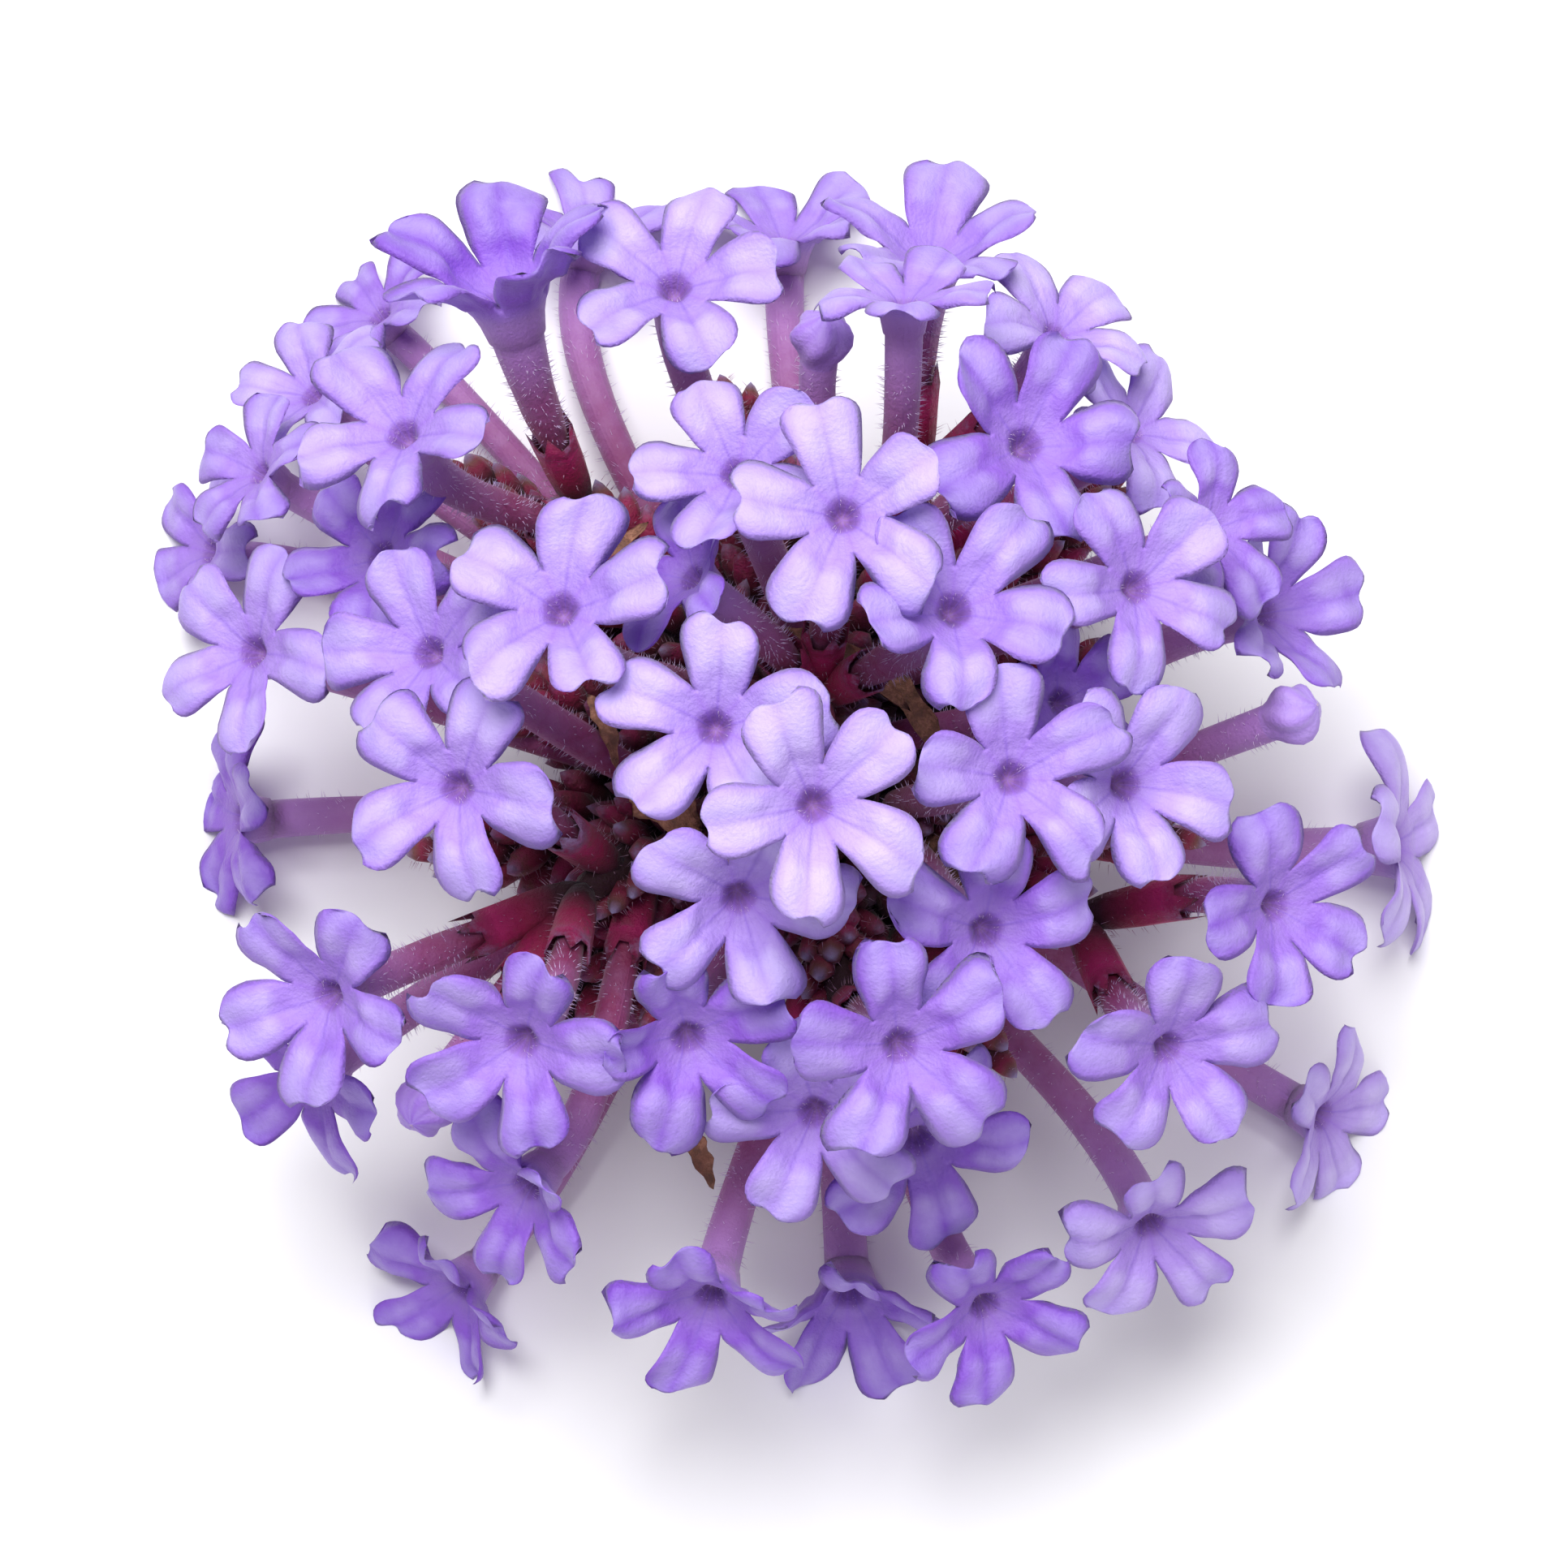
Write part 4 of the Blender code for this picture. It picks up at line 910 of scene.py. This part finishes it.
for place in [*SPIKES.values(), *SIDE_SHOOTS]:
    tip = seen_at(*place)
    axis, length = unit(tip - FORK), np.linalg.norm(tip - FORK)
    points, faces, _ = turned_body(SPIKE_ROWS, SPIKE_SIDES, FORK, axis, length, 1.0, 0.0, SPIKE_RIB)
    parts.append((points, faces, {"along": 0.2, "ripe": 0.3, "hair": 0.0}))
    first, second = square_to(axis, RIGHT)
    for k in range(YOUNG_COUNT):
        share = k / (YOUNG_COUNT - 1)
        most, less, chance = YOUNG_LENGTH
        size = most - less * share**1.5 + draw.uniform(-chance, chance)
        most, less, chance = YOUNG_GIRTH
        girth = most - less * share + draw.uniform(-chance, chance)
        lean = radians(YOUNG_LEAN[0] - YOUNG_LEAN[1] * share)
        foot = YOUNG_SPAN[0] + YOUNG_SPAN[1] * share
        aside = YOUNG_OUT[0] * (1 - YOUNG_OUT[1] * share)
        for attempt in range(YOUNG_TRIES):
            turn = k * GOLDEN_TURN + attempt * draw.uniform(-0.5, 0.5)
            out = cos(turn) * first + sin(turn) * second
            way = cos(lean) * axis + sin(lean) * out
            root = FORK + foot * length * axis + aside * out
            spots = root + YOUNG_SPOTS * size * way
            gaps = np.linalg.norm(spots[:, None] - np.concatenate(taken)[None], axis=2)
            free = (gaps - np.concatenate(room)[None]).min() > YOUNG_GAP
            if free and spots[:, 2].min() > YOUNG_CLEARANCE:
                points, faces, marks = turned_body(YOUNG_ROWS, YOUNG_SIDES, root, way, size, girth,
                                                   turn, YOUNG_RIB)
                ripe = min(1.0, 0.05 + 0.9 * share**2 + draw.uniform(0, 0.3))
                parts.append((points, faces, {**marks, "ripe": ripe, "hair": 0.0}))
                taken.append(spots[1:])
                room.append(np.full(2, YOUNG_ROOM))
                calyx_hairs(root, way, size, girth, YOUNG_HAIRS)
                break
bases, ways = np.concatenate(hair_bases), np.concatenate(hair_ways)
points, faces = bristles(bases, ways, draw.uniform(*CALYX_HAIR_LENGTHS, len(bases)),
                         CALYX_HAIR_WIDTH)
parts.append((points, faces, {"along": 0.5, "ripe": 0.0, "hair": 1.0}))
points, faces = joined([part[:2] for part in parts])
marks = {mark: np.concatenate([part[2][mark] * np.ones(len(part[0])) for part in parts])
         for mark in ("along", "ripe", "hair")}
dome = np.array([DOME_RADIUS, DOME_RADIUS, DOME_RISE])
# Painted shade: the deeper within the dome a point lies, the more its colour is blended toward
# black.
reach = np.linalg.norm((points - [0, 0, RIM_HEIGHT]) / dome, axis=1)
marks["deep"] = 1 - smooth(*SHADE_WITHIN, reach)

calyx_paint, tree, shader = nodes_of("calyx_crimson", 0.7, sheen=0.08)
along, ripe = mark_node(tree, "along"), mark_node(tree, "ripe")
# Along each calyx: near black at its foot as painted shade down among the others, then crimson that
# grows brighter toward the top, partly its own colour and partly a painted highlight; the ripe ones
# turn olive with a lilac-grey tip. The hub and the spikes sit at the dark foot of these ramps, so
# they too are painted in shade.
crimson = ramp(tree, along, [
    (0.0, (0.006, 0.001, 0.002)), (0.25, (0.035, 0.001, 0.008)), (0.6, (0.290, 0.002, 0.055)),
    (0.85, (0.450, 0.008, 0.120)), (1.0, (0.20, 0.004, 0.050))])
olive = ramp(tree, along, [
    (0.0, (0.010, 0.003, 0.003)), (0.35, (0.050, 0.006, 0.010)), (0.65, (0.260, 0.016, 0.055)),
    (0.80, (0.200, 0.070, 0.060)), (0.92, (0.26, 0.17, 0.28)), (1.0, (0.38, 0.34, 0.58))])
mottle = range_of(tree, grain(tree, 1100, 4.0, 0.7), 0.35, 0.65, -0.4, 0.4)
colour = blend(tree, range_of(tree, sums(tree, "ADD", ripe, mottle), 0.1, 0.9), crimson, olive)
colour = blend(tree, mark_node(tree, "hair"), colour, (0.50, 0.30, 0.40))
# Painted shade deep in the head.
colour = blend(tree, sums(tree, "MULTIPLY", mark_node(tree, "deep"), 0.9), colour,
               (0.004, 0.001, 0.002))
tree.links.new(colour, shader.inputs["Base Color"])
bumped(tree, shader, grain(tree, 3000, 4.0, 0.7), 0.9, 0.00014)
piece("grown_calyces", points, faces, calyx_paint, marks, ["calyces"])

# The cut stem.
# A short square stem, ridged at its corners, hairy and olive green, that was cut off below the fork
# and shows its pale pith. Unseen from above.
STEM_LOW, STEM_HIGH = 0.75, 4.25
STEM_ROWS = np.array([[0.0, 0.0], [0.0, 0.55], [0.02, 0.93], [0.05, 1.0], [0.35, 0.97], [0.7, 1.0],
                      [0.95, 1.08], [1.0, 1.0], [1.0, 0.0]])
STEM_STEPS = 32
STEM_RADIUS = 0.98
STEM_RIDGE, STEM_RIDGE_EDGE = 0.07, 0.03
PITH_REACH = 0.9
stem_foot = np.array([0.0, 0.3, STEM_LOW])
stem_top = np.array([0.0, 0.58, STEM_HIGH])
turns = 2 * pi * np.arange(STEM_STEPS) / STEM_STEPS
ridged = 1.0 + STEM_RIDGE * np.cos(4 * turns) + STEM_RIDGE_EDGE * np.cos(8 * turns)
shares, radii = STEM_ROWS.T
reach = STEM_RADIUS * radii[:, None] * ridged[None, :]
centres = stem_foot + shares[:, None] * (stem_top - stem_foot)
flat = np.stack([np.cos(turns), np.sin(turns), np.zeros(STEM_STEPS)], axis=1)
points = centres[:, None] + reach[..., None] * flat
cut = np.repeat((shares <= 0.0).astype(float) * (radii < PITH_REACH), STEM_STEPS)
points, faces, marks = sewn(points, {"cut": cut}, closed=True)
stem_paint, tree, shader = nodes_of("stem_green", 0.6, sheen=0.2)
green = ramp(tree, grain(tree, 900, 4.0), [(0.3, (0.10, 0.12, 0.03)), (0.7, (0.20, 0.21, 0.07))])
green = blend(tree, range_of(tree, grain(tree, 300, 2.0), 0.45, 0.7), green, (0.16, 0.05, 0.06))
green = blend(tree, mark_node(tree, "cut"), green, (0.55, 0.56, 0.36))
tree.links.new(green, shader.inputs["Base Color"])
bumped(tree, shader, grain(tree, 4000, 3.0), 0.5, 0.0001)
piece("cut_stem", points, faces, stem_paint, marks, ["stem"])

# The dry bracts.
# Withered brown bracts and shrivelled corollas that hang between the spikes, thin, creased and
# curled, straw to dark brown. Each is a loose strip caught by its foot.

# The places, as millimetres across and up and height, that each strip runs through, its width and
# how pale it is.
STRIPS = {
    "dry_bract_1": (((-0.5, 4.3, 11.2), (0.5, 3.9, 11.6), (1.6, 3.3, 11.6), (3.2, 2.1, 11.0)),
                    0.95, 0.6),
    "dry_bract_2": (((-6.0, 6.9, 11.2), (-5.5, 6.6, 11.7), (-4.9, 6.8, 12.1), (-4.1, 7.4, 12.2)),
                    0.50, 0.9),
    "dry_strip_3": (((1.8, 3.9, 9.6), (2.8, 2.8, 10.2), (3.6, 1.6, 10.2), (4.0, 0.4, 9.6)),
                    0.75, 0.5),
    "dry_strip_4": (((-5.8, 2.6, 9.6), (-5.4, 1.9, 10.4), (-5.2, 1.3, 10.8), (-5.0, 0.5, 10.6)),
                    0.5, 1.0),
    "dry_strip_5": (((-4.6, 0.0, 9.4), (-3.9, -0.4, 10.0), (-3.2, -0.9, 10.0), (-2.6, -1.2, 9.4)),
                    1.25, 0.9),
    "dry_strip_6": (((-3.0, -9.4, 6.6), (-2.8, -10.0, 7.0), (-2.6, -10.5, 7.0), (-2.3, -11.2, 6.4)),
                    0.6, 0.9),
    "dry_strip_7": (((-1.2, 6.6, 9.4), (-0.6, 6.2, 9.8), (0.2, 5.6, 9.9), (0.9, 5.4, 9.4)),
                    0.7, 0.5),
    "dry_strip_8": (((3.2, -1.0, 8.4), (3.9, -1.8, 8.8), (4.3, -2.7, 8.7), (4.5, -3.6, 8.2)),
                    0.7, 0.1),
}
STRIP_ROWS = 15
STRIP_STEPS = 9
STRIP_TWIST, STRIP_TILT = 0.9, 0.3
STRIP_CREASE, STRIP_CUP, STRIP_SKIN = 0.10, 0.42, 0.05


def strip(places, width, seed):
    """A creased strip along the cubic curve through four places. At the share u of its way and
    across o, from -1 to 1, its half-width is width / 2 * (0.16 + 0.84 sin(pi u^0.8)^0.7) *
    (1 + 0.18 sin(19 u + 2)), and it rises as a cup, o^2, with creases, cos(3 pi o + 5 u)."""
    draw = np.random.default_rng(seed)
    knots = np.array([seen_at(*place) for place in places])
    t = np.linspace(0, 3, STRIP_ROWS)
    shape = np.array([[1, t0, t0 * t0, t0**3] for t0 in range(4)], float)
    curve = np.stack([np.ones_like(t), t, t * t, t**3], axis=1) @ np.linalg.solve(shape, knots)
    ways = unit(np.gradient(curve, axis=0))
    side = unit(np.cross(ways, BACK))
    face = np.cross(side, ways)
    share = t[:, None] / 3
    twist = STRIP_TWIST * (share - 0.5) * draw.choice([-1, 1]) + STRIP_TILT
    side, face = (np.cos(twist) * side + np.sin(twist) * face,
                  np.cos(twist) * face - np.sin(twist) * side)
    spindle = 0.16 + 0.84 * np.sin(pi * share**0.8)**0.7
    half = 0.5 * width * spindle * (1 + 0.18 * np.sin(19 * share + 2))
    turns = np.linspace(0, 2 * pi, 2 * STRIP_STEPS, endpoint=False)[None, :]
    over, lift = np.cos(turns), np.sin(turns)
    crease = STRIP_CREASE * np.cos(3 * pi * over + 5 * share) * width
    rise = STRIP_CUP * half * over**2 + crease * 0.5 + STRIP_SKIN * lift * (1 - over**4)
    points = (curve[:, None] + (half * over)[..., None] * side[:, None]
              + rise[..., None] * face[:, None])
    points[0], points[-1] = points[0].mean(axis=0), points[-1].mean(axis=0)
    return sewn(points, {}, closed=True)


dry_paint, tree, shader = nodes_of("dry_brown", 0.8)
fibre = grain(tree, 2600, 4.0, 0.7)
colour = ramp(tree, fibre, [(0.35, (0.030, 0.010, 0.005)), (0.5, (0.16, 0.060, 0.028)),
                            (0.65, (0.42, 0.19, 0.11))])
colour = blend(tree, range_of(tree, mark_node(tree, "pale"), 0.0, 1.0), blend(
    tree, 0.7, colour, (0.030, 0.010, 0.006)), blend(tree, 0.3, colour, (0.50, 0.25, 0.16)))
tree.links.new(colour, shader.inputs["Base Color"])
bumped(tree, shader, fibre, 0.9, 0.0002)
for seed, (strip_name, (places, width, paleness)) in enumerate(STRIPS.items()):
    points, faces, marks = strip(places, width, seed)
    marks["pale"] = np.full(len(points), paleness)
    stands_for = [strip_name] if strip_name.startswith("dry_bract") else []
    piece("curled_" + strip_name, points, faces, dry_paint, marks, stands_for)
